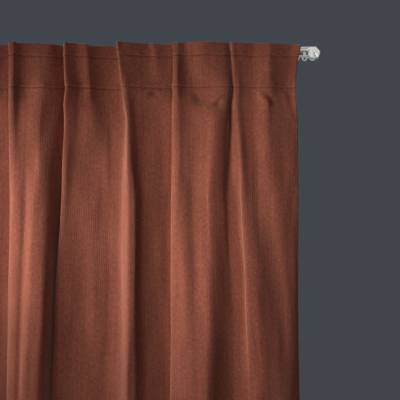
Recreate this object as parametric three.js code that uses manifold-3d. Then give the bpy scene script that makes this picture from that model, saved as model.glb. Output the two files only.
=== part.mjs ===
// A ribbed velvet curtain, pleated on hooks and hung on a slim ceiling rail.
// Millimetres, +Z up, +X to the right, the face of the curtain looks along -Y.
// Origin: the centre of the rail's flat top face, where it meets the ceiling.
import * as THREE from 'three';
import { mergeVertices } from 'three/addons/utils/BufferGeometryUtils.js';
import Module from 'manifold-3d';

// ---------------------------------------------------------------- sizes
const CLOTH_T = 2.0;            // velvet, base cloth and pile together
const HEM_T = 3.0;              // where the bottom hem lies double
const CLOTH_TOP = 2.0;          // the heading stands this far above the rail's top
const CLOTH_DROP = 2500.0;      // finished length of the panel
const HEM_H = 80.0;             // depth of the bottom hem
const PLANE_Y = -14.0;          // forward depth 0 of the fold table lies here
const PIECE_GAP = 0.3;          // air between neighbouring pieces

const TAPE_T = 1.0;             // woven heading tape
const TAPE_GAP = 0.45;          // air between the tape and the cloth before it
const TAPE_CORNER = 0.5;        // how sharp a turn the tape still follows at its full distance, as a cosine
const TAPE_TOP = 25.0;          // its upper edge, below the curtain's top
const TAPE_LOW = 92.0;          // its lower edge
const TAPE_INSET = 1;           // section steps left free at each side hem

const RAIL_DEPTH = 18.0;
const RAIL_H = 9.0;
const RAIL_WALL = 1.4;
const RAIL_SLOT = 6.4;          // slot along the rail's underside
const RAIL_GROOVE = 0.6;        // depth of the line along both long sides
const RAIL_GROOVE_Z = -4.2;
const RAIL_HALF = 498.0;        // half of the rail's length

const CAP = { depth: 20.0, plug: 3.4 };
// The end cap seen from the front: along x from its inner face, z below the rail's top.
const CAP_OUTLINE = [
  { x: 0, z: 0 }, { x: 14.6, z: 0 }, { x: 15.6, z: -0.8 }, { x: 16.6, z: -3.2 }, { x: 19.4, z: -5.6 }, { x: 21.8, z: -8.6 }, { x: 22.8, z: -11.8 },
  { x: 22.4, z: -15.2 }, { x: 20.9, z: -18.6 }, { x: 18.4, z: -21.8 }, { x: 16.2, z: -23.2 }, { x: 13.6, z: -23.4 }, { x: 2.6, z: -22.6 }, { x: 0, z: -19.4 },
];
const HEAD = { x: 8.0, y: 13.0, top: -3.3, low: -7.3 };    // a glider's foot inside the rail
const NECK = { x: 5.4, y: 5.0, low: -16.4 };
const BAR = { x: 15.6, y: 7.0, low: -19.8 };               // its shoulder under the rail
const EYE = { z: -23.0, r: 5.2, hole: 2.5, y: 3.4 };       // its eyelet
const CAP_EYE = { x: 8.0, z: -23.0, r: 5.1 };              // the end cap's own eyelet

const HOOK = { width: 2.6, wire: 1.6, low: -64.0, up: -34.0, air: 0.4, pitch: 3.2, tail: 6.5, jog_from: -3.0 };
const EDGE_GLIDER_X = 474.0;    // the gliders that carry the two side hems
const EDGE_JOG = 12.0;          // their hooks lead this far in from the edge
const SPARE_GLIDER_X = 490.0;

// ---------------------------------------------------------------- folds
// Heights of the table's sections, measured down from the curtain's top.
const LEVELS = { head: 0, neck: 58, pinch: 94, throat: 126, open: 164, drape: 240, mid: 324, low: 504, foot: 715, knee: 1560, hem: CLOTH_DROP };
const LEVEL_NAMES = Object.keys(LEVELS);

// The nose of each pleat, the line where its crest turns: x across and f forward at each height.
const NOSES = [
  { pleat: 'p1', cell: 'A', x: { head: -336, neck: -335.4, pinch: -335, throat: -335.5, open: -336, drape: -338.4, mid: -341, low: -346, foot: -350, knee: -352, hem: -354 }, f: { head: 31.6, neck: 32.7, pinch: 34.4, throat: 32.5, open: 27, drape: 26, mid: 23, low: 20.5, foot: 19.5, knee: 20, hem: 20 } },
  { pleat: 'p2', cell: 'B', x: { head: -224, neck: -219.7, pinch: -217, throat: -212.9, open: -208, drape: -207, mid: -206, low: -211, foot: -214, knee: -220, hem: -226 }, f: { head: 37.2, neck: 35.2, pinch: 31.4, throat: 29, open: 30.5, drape: 30.8, mid: 31, low: 30.4, foot: 29.8, knee: 29.3, hem: 29.3 } },
  { pleat: 'p3', cell: 'E', x: { head: -112, neck: -111.4, pinch: -111, throat: -110.5, open: -110, drape: -108.6, mid: -107, low: -107, foot: -108, knee: -110, hem: -112 }, f: { head: 35, neck: 33.1, pinch: 32, throat: 31.1, open: 30, drape: 25.2, mid: 20, low: 18, foot: 16, knee: 16.5, hem: 17 } },
  { pleat: 'p4', cell: 'A', x: { head: 0.3, neck: 2.2, pinch: 4.9, throat: 1.3, open: 2.5, drape: -1, mid: -2.5, low: -13, foot: -17, knee: -21, hem: -25 }, f: { head: 31.6, neck: 32.7, pinch: 34.4, throat: 32.5, open: 27, drape: 26, mid: 23, low: 20.5, foot: 19.5, knee: 20, hem: 20.5 } },
  { pleat: 'p5', cell: 'B', x: { head: 107.4, neck: 113.9, pinch: 117.8, throat: 123, open: 128.5, drape: 128.5, mid: 131, low: 131, foot: 130, knee: 125, hem: 121 }, f: { head: 37.2, neck: 35.2, pinch: 31.4, throat: 29, open: 30.5, drape: 30.8, mid: 31, low: 30.4, foot: 29.8, knee: 30.3, hem: 30.8 } },
  { pleat: 'p6', cell: 'C', x: { head: 219.7, neck: 220.2, pinch: 219.5, throat: 220.6, open: 218.9, drape: 218.5, mid: 217.2, low: 216.3, foot: 216, knee: 219, hem: 221 }, f: { head: 24.6, neck: 25.7, pinch: 26, throat: 27.8, open: 25.7, drape: 20, mid: 18.5, low: 12.5, foot: 15, knee: 15.5, hem: 16 } },
  { pleat: 'p7', cell: 'D', x: { head: 338.6, neck: 342.2, pinch: 343.1, throat: 344.5, open: 346.1, drape: 348.8, mid: 353.4, low: 364.1, foot: 366, knee: 363, hem: 359 }, f: { head: 25.5, neck: 20.9, pinch: 20, throat: 18.8, open: 19.8, drape: 21.9, mid: 14.8, low: 15.9, foot: 19.5, knee: 20, hem: 20.5 } },
];
const ENDS = {
  left: { x: { head: -475, neck: -472.5, pinch: -471, throat: -471.5, open: -472, drape: -473, mid: -474, low: -475, foot: -476, knee: -477, hem: -478 }, f: { head: 12, neck: 13.9, pinch: 15, throat: 13.6, open: 12, drape: 10.6, mid: 9, low: 8, foot: 8, knee: 9, hem: 10 } },
  right: { x: { head: 481.5, neck: 471.2, pinch: 468.4, throat: 469.8, open: 472.6, drape: 472.7, mid: 472.4, low: 471.4, foot: 473, knee: 474, hem: 475 }, f: { head: 4.7, neck: 9.9, pinch: 12.9, throat: 12.4, open: 8.4, drape: 6.5, mid: 7.3, low: 3.8, foot: -1.6, knee: -0.6, hem: 0.4 } },
};

// What the cloth does between one nose and the next: [share of the way across, depth forward].
// side: flank right of the nose, dip: foot of that flank, ridge and face: the panel, fall: where it turns
// back, tuck: its deepest line, under: the corner that the next crest hides.
const CELLS = {
  L: {
    head: { side: [0.13, 13], dip: [0.27, 15], ridge: [0.42, 12], face: [0.58, 13], fall: [0.74, 17], tuck: [0.9, 14], under: [1.02, 12] },
    neck: { side: [0.112, 13], dip: [0.252, 12.5], ridge: [0.42, 13.2], face: [0.58, 16.1], fall: [0.74, 15.8], tuck: [0.9, 11.5], under: [1.008, 10.1] },
    pinch: { side: [0.1, 13], dip: [0.24, 11], ridge: [0.42, 14], face: [0.58, 18], fall: [0.74, 15], tuck: [0.9, 10], under: [1, 9] },
    throat: { side: [0.1, 12.1], dip: [0.24, 11.5], ridge: [0.42, 14.5], face: [0.58, 18.5], fall: [0.74, 15], tuck: [0.891, 9.1], under: [1, 8.1] },
    open: { side: [0.1, 11], dip: [0.24, 12], ridge: [0.42, 15], face: [0.58, 19], fall: [0.74, 15], tuck: [0.88, 8], under: [1, 7] },
    drape: { side: [0.1, 11.5], dip: [0.231, 14.4], ridge: [0.392, 18.3], face: [0.552, 19.5], fall: [0.712, 13.6], tuck: [0.861, 6.6], under: [0.986, 7] },
    mid: { side: [0.1, 12], dip: [0.22, 17], ridge: [0.36, 22], face: [0.52, 20], fall: [0.68, 12], tuck: [0.84, 5], under: [0.97, 7] },
    low: { side: [0.08, 13], dip: [0.2, 20], ridge: [0.34, 24], face: [0.5, 20], fall: [0.66, 10], tuck: [0.84, 3], under: [0.97, 6] },
    foot: { side: [0.08, 14], dip: [0.2, 22], ridge: [0.34, 25], face: [0.5, 20], fall: [0.66, 8], tuck: [0.84, 1], under: [0.97, 4] },
  },
  A: {
    head: { side: [0.1, 26.5], dip: [0.216, 21.4], ridge: [0.421, 19.5], face: [0.467, 13.5], fall: [0.567, 8.7], tuck: [0.76, 2], under: [0.988, 0.5] },
    neck: { side: [0.11, 26.1], dip: [0.213, 19.8], ridge: [0.422, 19.2], face: [0.472, 12.5], fall: [0.555, 6.4], tuck: [0.724, 0.9], under: [0.982, 0.5] },
    pinch: { side: [0.134, 26], dip: [0.236, 18.4], ridge: [0.414, 17.6], face: [0.466, 12], fall: [0.548, 5.2], tuck: [0.704, 0.5], under: [0.986, 0.5] },
    throat: { side: [0.12, 27.5], dip: [0.225, 20], ridge: [0.413, 16.2], face: [0.474, 13.7], fall: [0.602, 6], tuck: [0.727, 1.4], under: [0.956, 0.5] },
    open: { side: [0.1, 24.5], dip: [0.225, 18], ridge: [0.434, 15.4], face: [0.513, 12.8], fall: [0.63, 6.8], tuck: [0.748, 2.3], under: [0.947, 3.6] },
    drape: { side: [0.054, 27.5], dip: [0.162, 21.5], ridge: [0.4, 13.4], face: [0.548, 10.9], fall: [0.675, 10], tuck: [0.76, 7.6], under: [0.936, 10.3] },
    mid: { side: [0.049, 24.5], dip: [0.169, 20], ridge: [0.393, 14.5], face: [0.548, 12], fall: [0.666, 9.2], tuck: [0.769, 7.6], under: [0.894, 10.4] },
    low: { side: [0.042, 21.8], dip: [0.16, 18.8], ridge: [0.368, 11.5], face: [0.535, 8.8], fall: [0.653, 7.3], tuck: [0.764, 5.5], under: [0.903, 8.4] },
    foot: { side: [0.041, 20.5], dip: [0.136, 18], ridge: [0.374, 10.5], face: [0.551, 7.8], fall: [0.677, 6.2], tuck: [0.802, 5.5], under: [0.898, 10.9] },
  },
  B: {
    head: { side: [0.083, 34.1], dip: [0.235, 29], ridge: [0.396, 22.3], face: [0.574, 16.2], fall: [0.641, 18.6], tuck: [0.891, 10.5], under: [1.092, 10.1] },
    neck: { side: [0.09, 33.3], dip: [0.215, 27.4], ridge: [0.371, 20.7], face: [0.524, 16.2], fall: [0.703, 15.2], tuck: [0.886, 11.1], under: [1.073, 9.7] },
    pinch: { side: [0.074, 33.8], dip: [0.2, 27.9], ridge: [0.341, 22.6], face: [0.529, 17.5], fall: [0.733, 11.8], tuck: [0.884, 8.1], under: [1.084, 5.2] },
    throat: { side: [0.077, 28.6], dip: [0.128, 25.8], ridge: [0.179, 22], face: [0.302, 18.6], fall: [0.554, 13.8], tuck: [0.892, 10.5], under: [0.994, 11] },
    open: { side: [0.055, 30], dip: [0.105, 27], ridge: [0.138, 23], face: [0.249, 19.3], fall: [0.536, 12.3], tuck: [0.912, 8.6], under: [1.012, 9.5] },
    drape: { side: [0.061, 30.8], dip: [0.131, 27], ridge: [0.1, 21.8], face: [0.25, 18.6], fall: [0.55, 12.2], tuck: [0.917, 5.5], under: [1.05, 6.5] },
    mid: { side: [0.087, 31], dip: [0.186, 27.3], ridge: [0.11, 20], face: [0.278, 18.8], fall: [0.592, 11.3], tuck: [0.928, 3.6], under: [1.05, 5.5] },
    low: { side: [0.106, 31.4], dip: [0.199, 27.4], ridge: [0.117, 19.5], face: [0.281, 17.8], fall: [0.586, 10], tuck: [0.903, 2.4], under: [1.043, 3.5] },
    foot: { side: [0.105, 29], dip: [0.227, 23], ridge: [0.163, 15], face: [0.337, 13.2], fall: [0.605, 7], tuck: [0.884, 0.6], under: [1.041, 2] },
  },
  C: {
    head: { side: [0.08, 26.7], dip: [0.217, 21.3], ridge: [0.313, 26.2], face: [0.547, 33], fall: [0.784, 26.7], tuck: [0.947, 18.7], under: [0.929, 1.4] },
    neck: { side: [0.074, 29.3], dip: [0.166, 20.8], ridge: [0.285, 18.4], face: [0.498, 27], fall: [0.79, 27.4], tuck: [0.942, 18.8], under: [0.925, 2.6] },
    pinch: { side: [0.079, 30.8], dip: [0.166, 24], ridge: [0.353, 17.6], face: [0.585, 20.5], fall: [0.807, 26.9], tuck: [0.948, 22.5], under: [0.944, 3.5] },
    throat: { side: [0.073, 31.7], dip: [0.188, 28], ridge: [0.328, 25.4], face: [0.549, 24.7], fall: [0.713, 25.3], tuck: [0.91, 18.3], under: [0.877, 6.1] },
    open: { side: [0.083, 29.4], dip: [0.207, 25.5], ridge: [0.334, 23.5], face: [0.538, 26.8], fall: [0.69, 30.6], tuck: [0.881, 19.8], under: [0.897, 12.4] },
    drape: { side: [0.098, 27.2], dip: [0.2, 24.8], ridge: [0.347, 22.1], face: [0.517, 26.6], fall: [0.628, 31.2], tuck: [0.806, 22.8], under: [0.863, 15.2] },
    mid: { side: [0.077, 27.2], dip: [0.211, 26.6], ridge: [0.324, 23.5], face: [0.515, 26], fall: [0.556, 27.9], tuck: [0.762, 19.2], under: [0.824, 13.6] },
    low: { side: [0.111, 23.8], dip: [0.22, 29.8], ridge: [0.35, 29.3], face: [0.475, 32.9], fall: [0.562, 32.9], tuck: [0.768, 20], under: [0.824, 16.9] },
    foot: { side: [0.118, 27.6], dip: [0.198, 32.1], ridge: [0.331, 36.9], face: [0.469, 39.8], fall: [0.546, 36.6], tuck: [0.753, 17], under: [0.867, 15] },
  },
  E: {
    head: { side: [0.094, 37.5], dip: [0.172, 28.5], ridge: [0.314, 24.8], face: [0.541, 21.2], fall: [0.742, 16.8], tuck: [0.865, 6.4], under: [0.942, 2] },
    neck: { side: [0.087, 36.1], dip: [0.166, 26.9], ridge: [0.315, 23.5], face: [0.551, 23.1], fall: [0.734, 17.1], tuck: [0.881, 7.4], under: [0.956, 3.8] },
    pinch: { side: [0.082, 34.4], dip: [0.158, 25], ridge: [0.312, 21.9], face: [0.565, 26.8], fall: [0.752, 18.9], tuck: [0.908, 7.6], under: [0.961, 4.5] },
    throat: { side: [0.081, 33.5], dip: [0.179, 26.8], ridge: [0.321, 25.8], face: [0.56, 28], fall: [0.688, 22.7], tuck: [0.89, 11.4], under: [0.991, 3.5] },
    open: { side: [0.074, 32.2], dip: [0.186, 28.2], ridge: [0.32, 27.9], face: [0.539, 29.8], fall: [0.652, 24.6], tuck: [0.85, 15], under: [0.966, 3.2] },
    drape: { side: [0.077, 30.3], dip: [0.199, 30.4], ridge: [0.33, 29.7], face: [0.515, 32.2], fall: [0.582, 33], tuck: [0.786, 24], under: [1.023, 4.5] },
    mid: { side: [0.077, 29], dip: [0.205, 32], ridge: [0.331, 31], face: [0.469, 40], fall: [0.584, 40], tuck: [0.766, 34], under: [1.024, 6] },
    low: { side: [0.085, 29.5], dip: [0.208, 33], ridge: [0.324, 32], face: [0.479, 44], fall: [0.638, 46], tuck: [0.819, 42], under: [1.032, 6] },
    foot: { side: [0.093, 29.2], dip: [0.199, 33.5], ridge: [0.308, 33], face: [0.418, 44], fall: [0.604, 46], tuck: [0.791, 42], under: [1.033, 6] },
  },
  D: {
    head: { side: [0.086, 23.4], dip: [0.161, 21.8], ridge: [0.326, 15.2], face: [0.469, 17.2], fall: [0.556, 18], tuck: [0.678, 12.4], under: [0.866, 4.8] },
    neck: { side: [0.063, 20.5], dip: [0.144, 17], ridge: [0.31, 13], face: [0.489, 18.8], fall: [0.573, 21], tuck: [0.692, 15.2], under: [0.87, 9.1] },
    pinch: { side: [0.058, 21.7], dip: [0.155, 17.5], ridge: [0.314, 14.2], face: [0.491, 20.3], fall: [0.588, 21], tuck: [0.725, 14.3], under: [0.895, 8.4] },
    throat: { side: [0.045, 20.8], dip: [0.15, 16.9], ridge: [0.348, 14.2], face: [0.535, 21.6], fall: [0.602, 19.3], tuck: [0.79, 13.5], under: [0.911, 9.9] },
    open: { side: [0.048, 22.3], dip: [0.163, 18], ridge: [0.297, 16.1], face: [0.508, 21.3], fall: [0.599, 18.9], tuck: [0.779, 14], under: [0.919, 10] },
    drape: { side: [0.07, 25.3], dip: [0.185, 20], ridge: [0.334, 16.8], face: [0.502, 20.7], fall: [0.597, 19.2], tuck: [0.78, 13.3], under: [0.924, 9.9] },
    mid: { side: [0.04, 25.4], dip: [0.196, 22], ridge: [0.316, 18.5], face: [0.478, 18.8], fall: [0.615, 19.4], tuck: [0.784, 14.9], under: [0.91, 10.7] },
    low: { side: [0.007, 30], dip: [0.232, 30.6], ridge: [0.404, 23.4], face: [0.554, 18.1], fall: [0.684, 14.9], tuck: [0.821, 11.9], under: [0.93, 8.3] },
    foot: { side: [0.093, 24], dip: [0.28, 24.5], ridge: [0.542, 19.5], face: [0.676, 16.6], fall: [0.772, 11.9], tuck: [0.851, 8.1], under: [0.928, 3.2] },
  },
};
// How far the top edge droops at each of these lines where the heading is slack, mm.
const SAGS = { A: { ridge: 1, face: 3.5, fall: 2.6, tuck: 1 }, C: { face: 0.6 }, L: { fall: 1.2, tuck: 0.8 } };
const SAG_DEPTH = 92.0;         // the droop has gone at this depth
const COLUMNS = ['side', 'dip', 'ridge', 'face', 'fall', 'tuck', 'under'];

// ---------------------------------------------------------------- small maths
// Monotone cubic through a named row of values at the table's heights.
function down(row, drop) {
  const at = LEVEL_NAMES.map((n) => LEVELS[n]);
  const v = LEVEL_NAMES.map((n) => row[n] ?? row.foot);
  const n = at.length;
  const slope = [];
  for (let i = 0; i < n - 1; i++) slope.push((v[i + 1] - v[i]) / (at[i + 1] - at[i]));
  const tangent = [slope[0]];
  for (let i = 1; i < n - 1; i++) {
    const a = slope[i - 1], b = slope[i];
    tangent.push(a * b <= 0 ? 0 : (2 * a * b) / (a + b));
  }
  tangent.push(slope[n - 2]);
  let i = 0;
  while (i < n - 2 && drop > at[i + 1]) i++;
  const h = at[i + 1] - at[i], t = Math.min(Math.max((drop - at[i]) / h, 0), 1);
  const t2 = t * t, t3 = t2 * t;
  return (2 * t3 - 3 * t2 + 1) * v[i] + (t3 - 2 * t2 + t) * h * tangent[i] + (3 * t2 - 2 * t3) * v[i + 1] + (t3 - t2) * h * tangent[i + 1];
}

// A point of the centripetal spline between b and c.
function spline(a, b, c, d, t) {
  const step = (p, q) => Math.max(Math.sqrt(Math.hypot(q[0] - p[0], q[1] - p[1])), 1e-6);
  const t1 = step(a, b), t2 = t1 + step(b, c), t3 = t2 + step(c, d);
  const u = t1 + (t2 - t1) * t;
  const mix = (p, q, s0, s1) => [0, 1].map((k) => (p[k] * (s1 - u) + q[k] * (u - s0)) / (s1 - s0));
  const ab = mix(a, b, 0, t1), bc = mix(b, c, t1, t2), cd = mix(c, d, t2, t3);
  return mix(mix(ab, bc, 0, t2), mix(bc, cd, t1, t3), t1, t2);
}

// ---------------------------------------------------------------- the curtain's section at one height
function knots(drop) {
  const found = [];
  const left = [down(ENDS.left.x, drop), down(ENDS.left.f, drop)];
  const right = [down(ENDS.right.x, drop), down(ENDS.right.f, drop)];
  const noses = NOSES.map((n) => [down(n.x, drop), down(n.f, drop)]);
  const stops = [left, ...noses, right];
  const cells = ['L', ...NOSES.map((n) => n.cell)];
  cells.forEach((name, i) => {
    const from = stops[i], to = stops[i + 1];
    found.push({ kind: i === 0 ? 'end' : 'nose', at: from, sag: 0 });
    for (const column of COLUMNS) {
      const share = {}, depth = {};
      for (const level of Object.keys(CELLS[name])) [share[level], depth[level]] = CELLS[name][level][column];
      found.push({ kind: column, at: [from[0] + down(share, drop) * (to[0] - from[0]), down(depth, drop)], sag: SAGS[name]?.[column] ?? 0 });
    }
  });
  found.push({ kind: 'end', at: right, sag: 0 });
  return found;
}

// Steps from each knot to the next one. The tight turns get more.
const STEPS = { end: 2, nose: 2, side: 2, dip: 2, ridge: 2, face: 2, fall: 2, tuck: 2, under: 2 };
function section(drop) {
  const list = knots(drop), p = list.map((k) => k.at), points = [];
  const n = p.length;
  for (let i = 0; i < n - 1; i++) {
    const a = i > 0 ? p[i - 1] : [2 * p[0][0] - p[1][0], 2 * p[0][1] - p[1][1]];
    const d = i < n - 2 ? p[i + 2] : [2 * p[n - 1][0] - p[n - 2][0], 2 * p[n - 1][1] - p[n - 2][1]];
    const steps = STEPS[list[i].kind];
    for (let s = 0; s < steps; s++) points.push([...spline(a, p[i], p[i + 1], d, s / steps), list[i].sag + (list[i + 1].sag - list[i].sag) * s / steps]);
  }
  points.push([...p[n - 1], 0]);
  return points;
}

// The section moved back by a distance, square to itself.
function behind(points, distance, corner = 0.8) {
  return points.map((p, i) => {
    const q = points[Math.max(i - 1, 0)], r = points[Math.min(i + 1, points.length - 1)];
    const unit = (a, b) => { const l = Math.hypot(b[0] - a[0], b[1] - a[1]) || 1; return [(b[0] - a[0]) / l, (b[1] - a[1]) / l]; };
    const u = unit(q, p), v = unit(p, r);
    const one = i === 0 ? v : u, two = i === points.length - 1 ? u : v;
    const sum = [one[0] + two[0], one[1] + two[1]], l = Math.hypot(sum[0], sum[1]) || 1;
    const along = [sum[0] / l, sum[1] / l];
    const stretch = 1 / Math.max(along[0] * one[0] + along[1] * one[1], corner);
    // forward is +f, so the back is on the -f side of a section that runs to +x
    return [p[0] + along[1] * distance * stretch, p[1] - along[0] * distance * stretch, p[2]];
  });
}

// A closed sheet between a front and a back section at each height.
function sheet(rows) {
  const m = rows.length, n = rows[0].front.length, positions = [], index = [];
  const add = (points, drop) => points.forEach(([x, f, sag]) => positions.push(x, PLANE_Y - f, CLOTH_TOP - drop - sag * Math.max(1 - drop / SAG_DEPTH, 0) ** 2));
  rows.forEach((row) => add(row.front, row.drop));
  rows.forEach((row) => add(row.back, row.drop));
  const F = (j, i) => j * n + i, B = (j, i) => m * n + j * n + i;
  const quad = (a, b, c, d) => index.push(a, b, c, a, c, d);
  for (let j = 0; j < m - 1; j++) for (let i = 0; i < n - 1; i++) {
    quad(F(j, i), F(j + 1, i), F(j + 1, i + 1), F(j, i + 1));
    quad(B(j, i), B(j, i + 1), B(j + 1, i + 1), B(j + 1, i));
  }
  for (let j = 0; j < m - 1; j++) {
    quad(F(j, 0), B(j, 0), B(j + 1, 0), F(j + 1, 0));
    quad(F(j, n - 1), F(j + 1, n - 1), B(j + 1, n - 1), B(j, n - 1));
  }
  for (let i = 0; i < n - 1; i++) {
    quad(F(0, i), F(0, i + 1), B(0, i + 1), B(0, i));
    quad(F(m - 1, i), B(m - 1, i), B(m - 1, i + 1), F(m - 1, i + 1));
  }
  const geometry = new THREE.BufferGeometry();
  geometry.setAttribute('position', new THREE.Float32BufferAttribute(positions, 3));
  geometry.setIndex(index);
  return geometry;
}

// Depths of the cloth's rows below its top; the last two pairs are the bottom hem and its step.
const CLOTH_ROWS = [0, TAPE_TOP, 58, TAPE_LOW, 126, 164, 240, 324, 414, 504, 715, 1100, 1560, CLOTH_DROP - HEM_H - 4, CLOTH_DROP - HEM_H, CLOTH_DROP];
function clothSheet() {
  return sheet(CLOTH_ROWS.map((drop) => {
    const front = section(drop);
    return { front, back: behind(front, drop >= CLOTH_DROP - HEM_H ? HEM_T : CLOTH_T), drop };
  }));
}

function tapeSections(drop) {
  const front = section(drop), inner = behind(front, CLOTH_T + TAPE_GAP, TAPE_CORNER), outer = behind(front, CLOTH_T + TAPE_GAP + TAPE_T, TAPE_CORNER);
  const cut = (list) => list.slice(TAPE_INSET, list.length - TAPE_INSET);
  return { front: cut(inner), back: cut(outer), drop };
}

// ---------------------------------------------------------------- joins and cuts
const wasm = await Module();
wasm.setup();

function solid(geometry) {
  const bare = geometry.clone();
  bare.deleteAttribute('normal');
  bare.deleteAttribute('uv');
  const merged = mergeVertices(bare, 1e-4);
  return new wasm.Manifold(new wasm.Mesh({ numProp: 3, vertProperties: new Float32Array(merged.attributes.position.array), triVerts: new Uint32Array(merged.index.array) }));
}

function geometryOf(manifold) {
  const mesh = manifold.getMesh(), geometry = new THREE.BufferGeometry();
  geometry.setAttribute('position', new THREE.Float32BufferAttribute(Array.from(mesh.vertProperties), 3));
  geometry.setIndex(Array.from(mesh.triVerts));
  geometry.computeVertexNormals();
  return geometry;
}

function box(x0, x1, y0, y1, z0, z1) {
  return new THREE.BoxGeometry(x1 - x0, y1 - y0, z1 - z0).translate((x0 + x1) / 2, (y0 + y1) / 2, (z0 + z1) / 2);
}

// A profile drawn in y and z, run along x from x0 over a length.
function alongX(points, x0, length) {
  const shape = new THREE.Shape(points.map(([y, z]) => new THREE.Vector2(y, z)));
  const geometry = new THREE.ExtrudeGeometry(shape, { depth: length, bevelEnabled: false });
  geometry.applyMatrix4(new THREE.Matrix4().makeBasis(new THREE.Vector3(0, 1, 0), new THREE.Vector3(0, 0, 1), new THREE.Vector3(1, 0, 0)));
  return geometry.translate(x0, 0, 0);
}

// A profile drawn in x and z, with round holes, centred on y = 0.
function alongY(shape, depth, curveSegments = 10) {
  return new THREE.ExtrudeGeometry(shape, { depth, bevelEnabled: false, curveSegments }).rotateX(Math.PI / 2).translate(0, depth / 2, 0);
}

// ---------------------------------------------------------------- rail and its ends
function railProfile() {
  const d = RAIL_DEPTH / 2, w = RAIL_WALL, s = RAIL_SLOT / 2, h = RAIL_H, g = RAIL_GROOVE, gz = RAIL_GROOVE_Z, c = 0.5;
  const side = [[s, -h], [d - c, -h], [d, -h + c], [d, gz - g], [d - g, gz], [d, gz + g], [d, -c], [d - c, 0]];
  const inside = [[d - w, -w], [d - w, -h + w], [s, -h + w]];
  const mirror = (list) => list.map(([y, z]) => [-y, z]).reverse();
  return [...side, ...mirror(side), ...mirror(inside), ...inside];
}

function endCap() {
  const shape = new THREE.Shape(CAP_OUTLINE.map(({ x, z }) => new THREE.Vector2(x, z)));
  const eye = new THREE.Shape();
  eye.absarc(CAP_EYE.x, CAP_EYE.z, CAP_EYE.r, 0, Math.PI * 2);
  eye.holes.push(new THREE.Path().absarc(CAP_EYE.x, CAP_EYE.z, EYE.hole, 0, Math.PI * 2, true));
  const plug = RAIL_DEPTH / 2 - RAIL_WALL - 0.35;
  return solid(alongY(shape, CAP.depth, 14))
    .add(solid(alongY(eye, EYE.y, 12)))
    .add(solid(box(-CAP.plug - PIECE_GAP, 0.5, -plug, plug, -RAIL_H + RAIL_WALL + 0.35, -RAIL_WALL - 0.35)));
}

// ---------------------------------------------------------------- gliders and hooks
function glider() {
  const plate = new THREE.Shape();
  plate.moveTo(-BAR.x / 2, BAR.low + 1.2);
  plate.lineTo(-EYE.r, EYE.z);
  plate.absarc(0, EYE.z, EYE.r, Math.PI, Math.PI * 2, false);
  plate.lineTo(BAR.x / 2, BAR.low + 1.2);
  plate.closePath();
  plate.holes.push(new THREE.Path().absarc(0, EYE.z, EYE.hole, 0, Math.PI * 2, true));
  return solid(box(-HEAD.x / 2, HEAD.x / 2, -HEAD.y / 2, HEAD.y / 2, HEAD.low, HEAD.top))
    .add(solid(box(-NECK.x / 2, NECK.x / 2, -NECK.y / 2, NECK.y / 2, NECK.low - 0.4, HEAD.low + 0.4)))
    .add(solid(box(-BAR.x / 2, BAR.x / 2, -BAR.y / 2, BAR.y / 2, BAR.low, NECK.low)))
    .add(solid(alongY(plate, EYE.y, 7)));
}

// The rearmost y of the tape behind a stretch of x, over the height of a hook.
function tapeBackAt(x) {
  let rear = -Infinity;
  const rows = [TAPE_TOP, 58, TAPE_LOW].map((drop) => tapeSections(drop).back);
  for (let k = 0; k < rows.length - 1; k++) for (const t of [0, 0.25, 0.5, 0.75, 1]) {
    const row = rows[k].map((p, i) => [0, 1].map((c) => p[c] + (rows[k + 1][i][c] - p[c]) * t));
    for (let i = 0; i < row.length - 1; i++) {
      for (let s = 0; s <= 4; s++) {
        const px = row[i][0] + (row[i + 1][0] - row[i][0]) * s / 4, pf = row[i][1] + (row[i + 1][1] - row[i][1]) * s / 4;
        if (Math.abs(px - x) < HOOK.width / 2 + 0.8) rear = Math.max(rear, PLANE_Y - pf);
      }
    }
  }
  return rear;
}

// A flat pin hook: its tail behind the eyelet, a bar through it, a leg down and a prong up behind the tape.
function hook(x, jog) {
  const rear = tapeBackAt(x + jog), w = HOOK.wire, top = EYE.z, low = EYE.z - w, tail = EYE.y / 2 + 0.6;
  const prong = rear + HOOK.air, leg = prong + HOOK.pitch, turn = HOOK.jog_from;
  const inner = alongX([[tail + w, top], [turn - 0.6, top], [turn - 0.6, low], [tail, low], [tail, top - HOOK.tail], [tail + w, top - HOOK.tail]], x - HOOK.width / 2, HOOK.width);
  const outer = alongX([
    [turn, top], [leg, top], [leg, HOOK.low + w], [prong + w, HOOK.low + w], [prong + w, HOOK.up],
    [prong, HOOK.up], [prong, HOOK.low], [leg + w, HOOK.low], [leg + w, low], [turn, low],
  ], x - HOOK.width / 2, HOOK.width);
  const place = outer.attributes.position;
  for (let i = 0; i < place.count; i++) if (place.getY(i) < turn - 0.01) place.setX(i, place.getX(i) + jog);
  return geometryOf(solid(inner).add(solid(outer)));
}

// ---------------------------------------------------------------- the whole curtain
const velvet = () => new THREE.MeshStandardMaterial({ color: 0x7d4536, roughness: 0.95, metalness: 0 });
const plastic = () => new THREE.MeshStandardMaterial({ color: 0xe8e8e6, roughness: 0.45, metalness: 0 });
const group = new THREE.Group();
function put(name, geometry, material, x = 0, y = 0, z = 0) {
  const mesh = new THREE.Mesh(geometry, material);
  mesh.name = name;
  mesh.position.set(x, y, z);
  group.add(mesh);
  return mesh;
}

put('curtain_panel', clothSheet(), velvet());
put('heading_tape', sheet([TAPE_TOP, 58, TAPE_LOW].map(tapeSections)), new THREE.MeshStandardMaterial({ color: 0xe6e0d4, roughness: 0.9, metalness: 0 }));
put('rail', alongX(railProfile(), -RAIL_HALF, 2 * RAIL_HALF), new THREE.MeshStandardMaterial({ color: 0xececea, roughness: 0.4, metalness: 0.1 }));

const capGeometry = geometryOf(endCap());
put('end_cap_right', capGeometry, plastic(), RAIL_HALF + PIECE_GAP);
put('end_cap_left', capGeometry.clone(), plastic(), -RAIL_HALF - PIECE_GAP).rotation.z = Math.PI;

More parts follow.
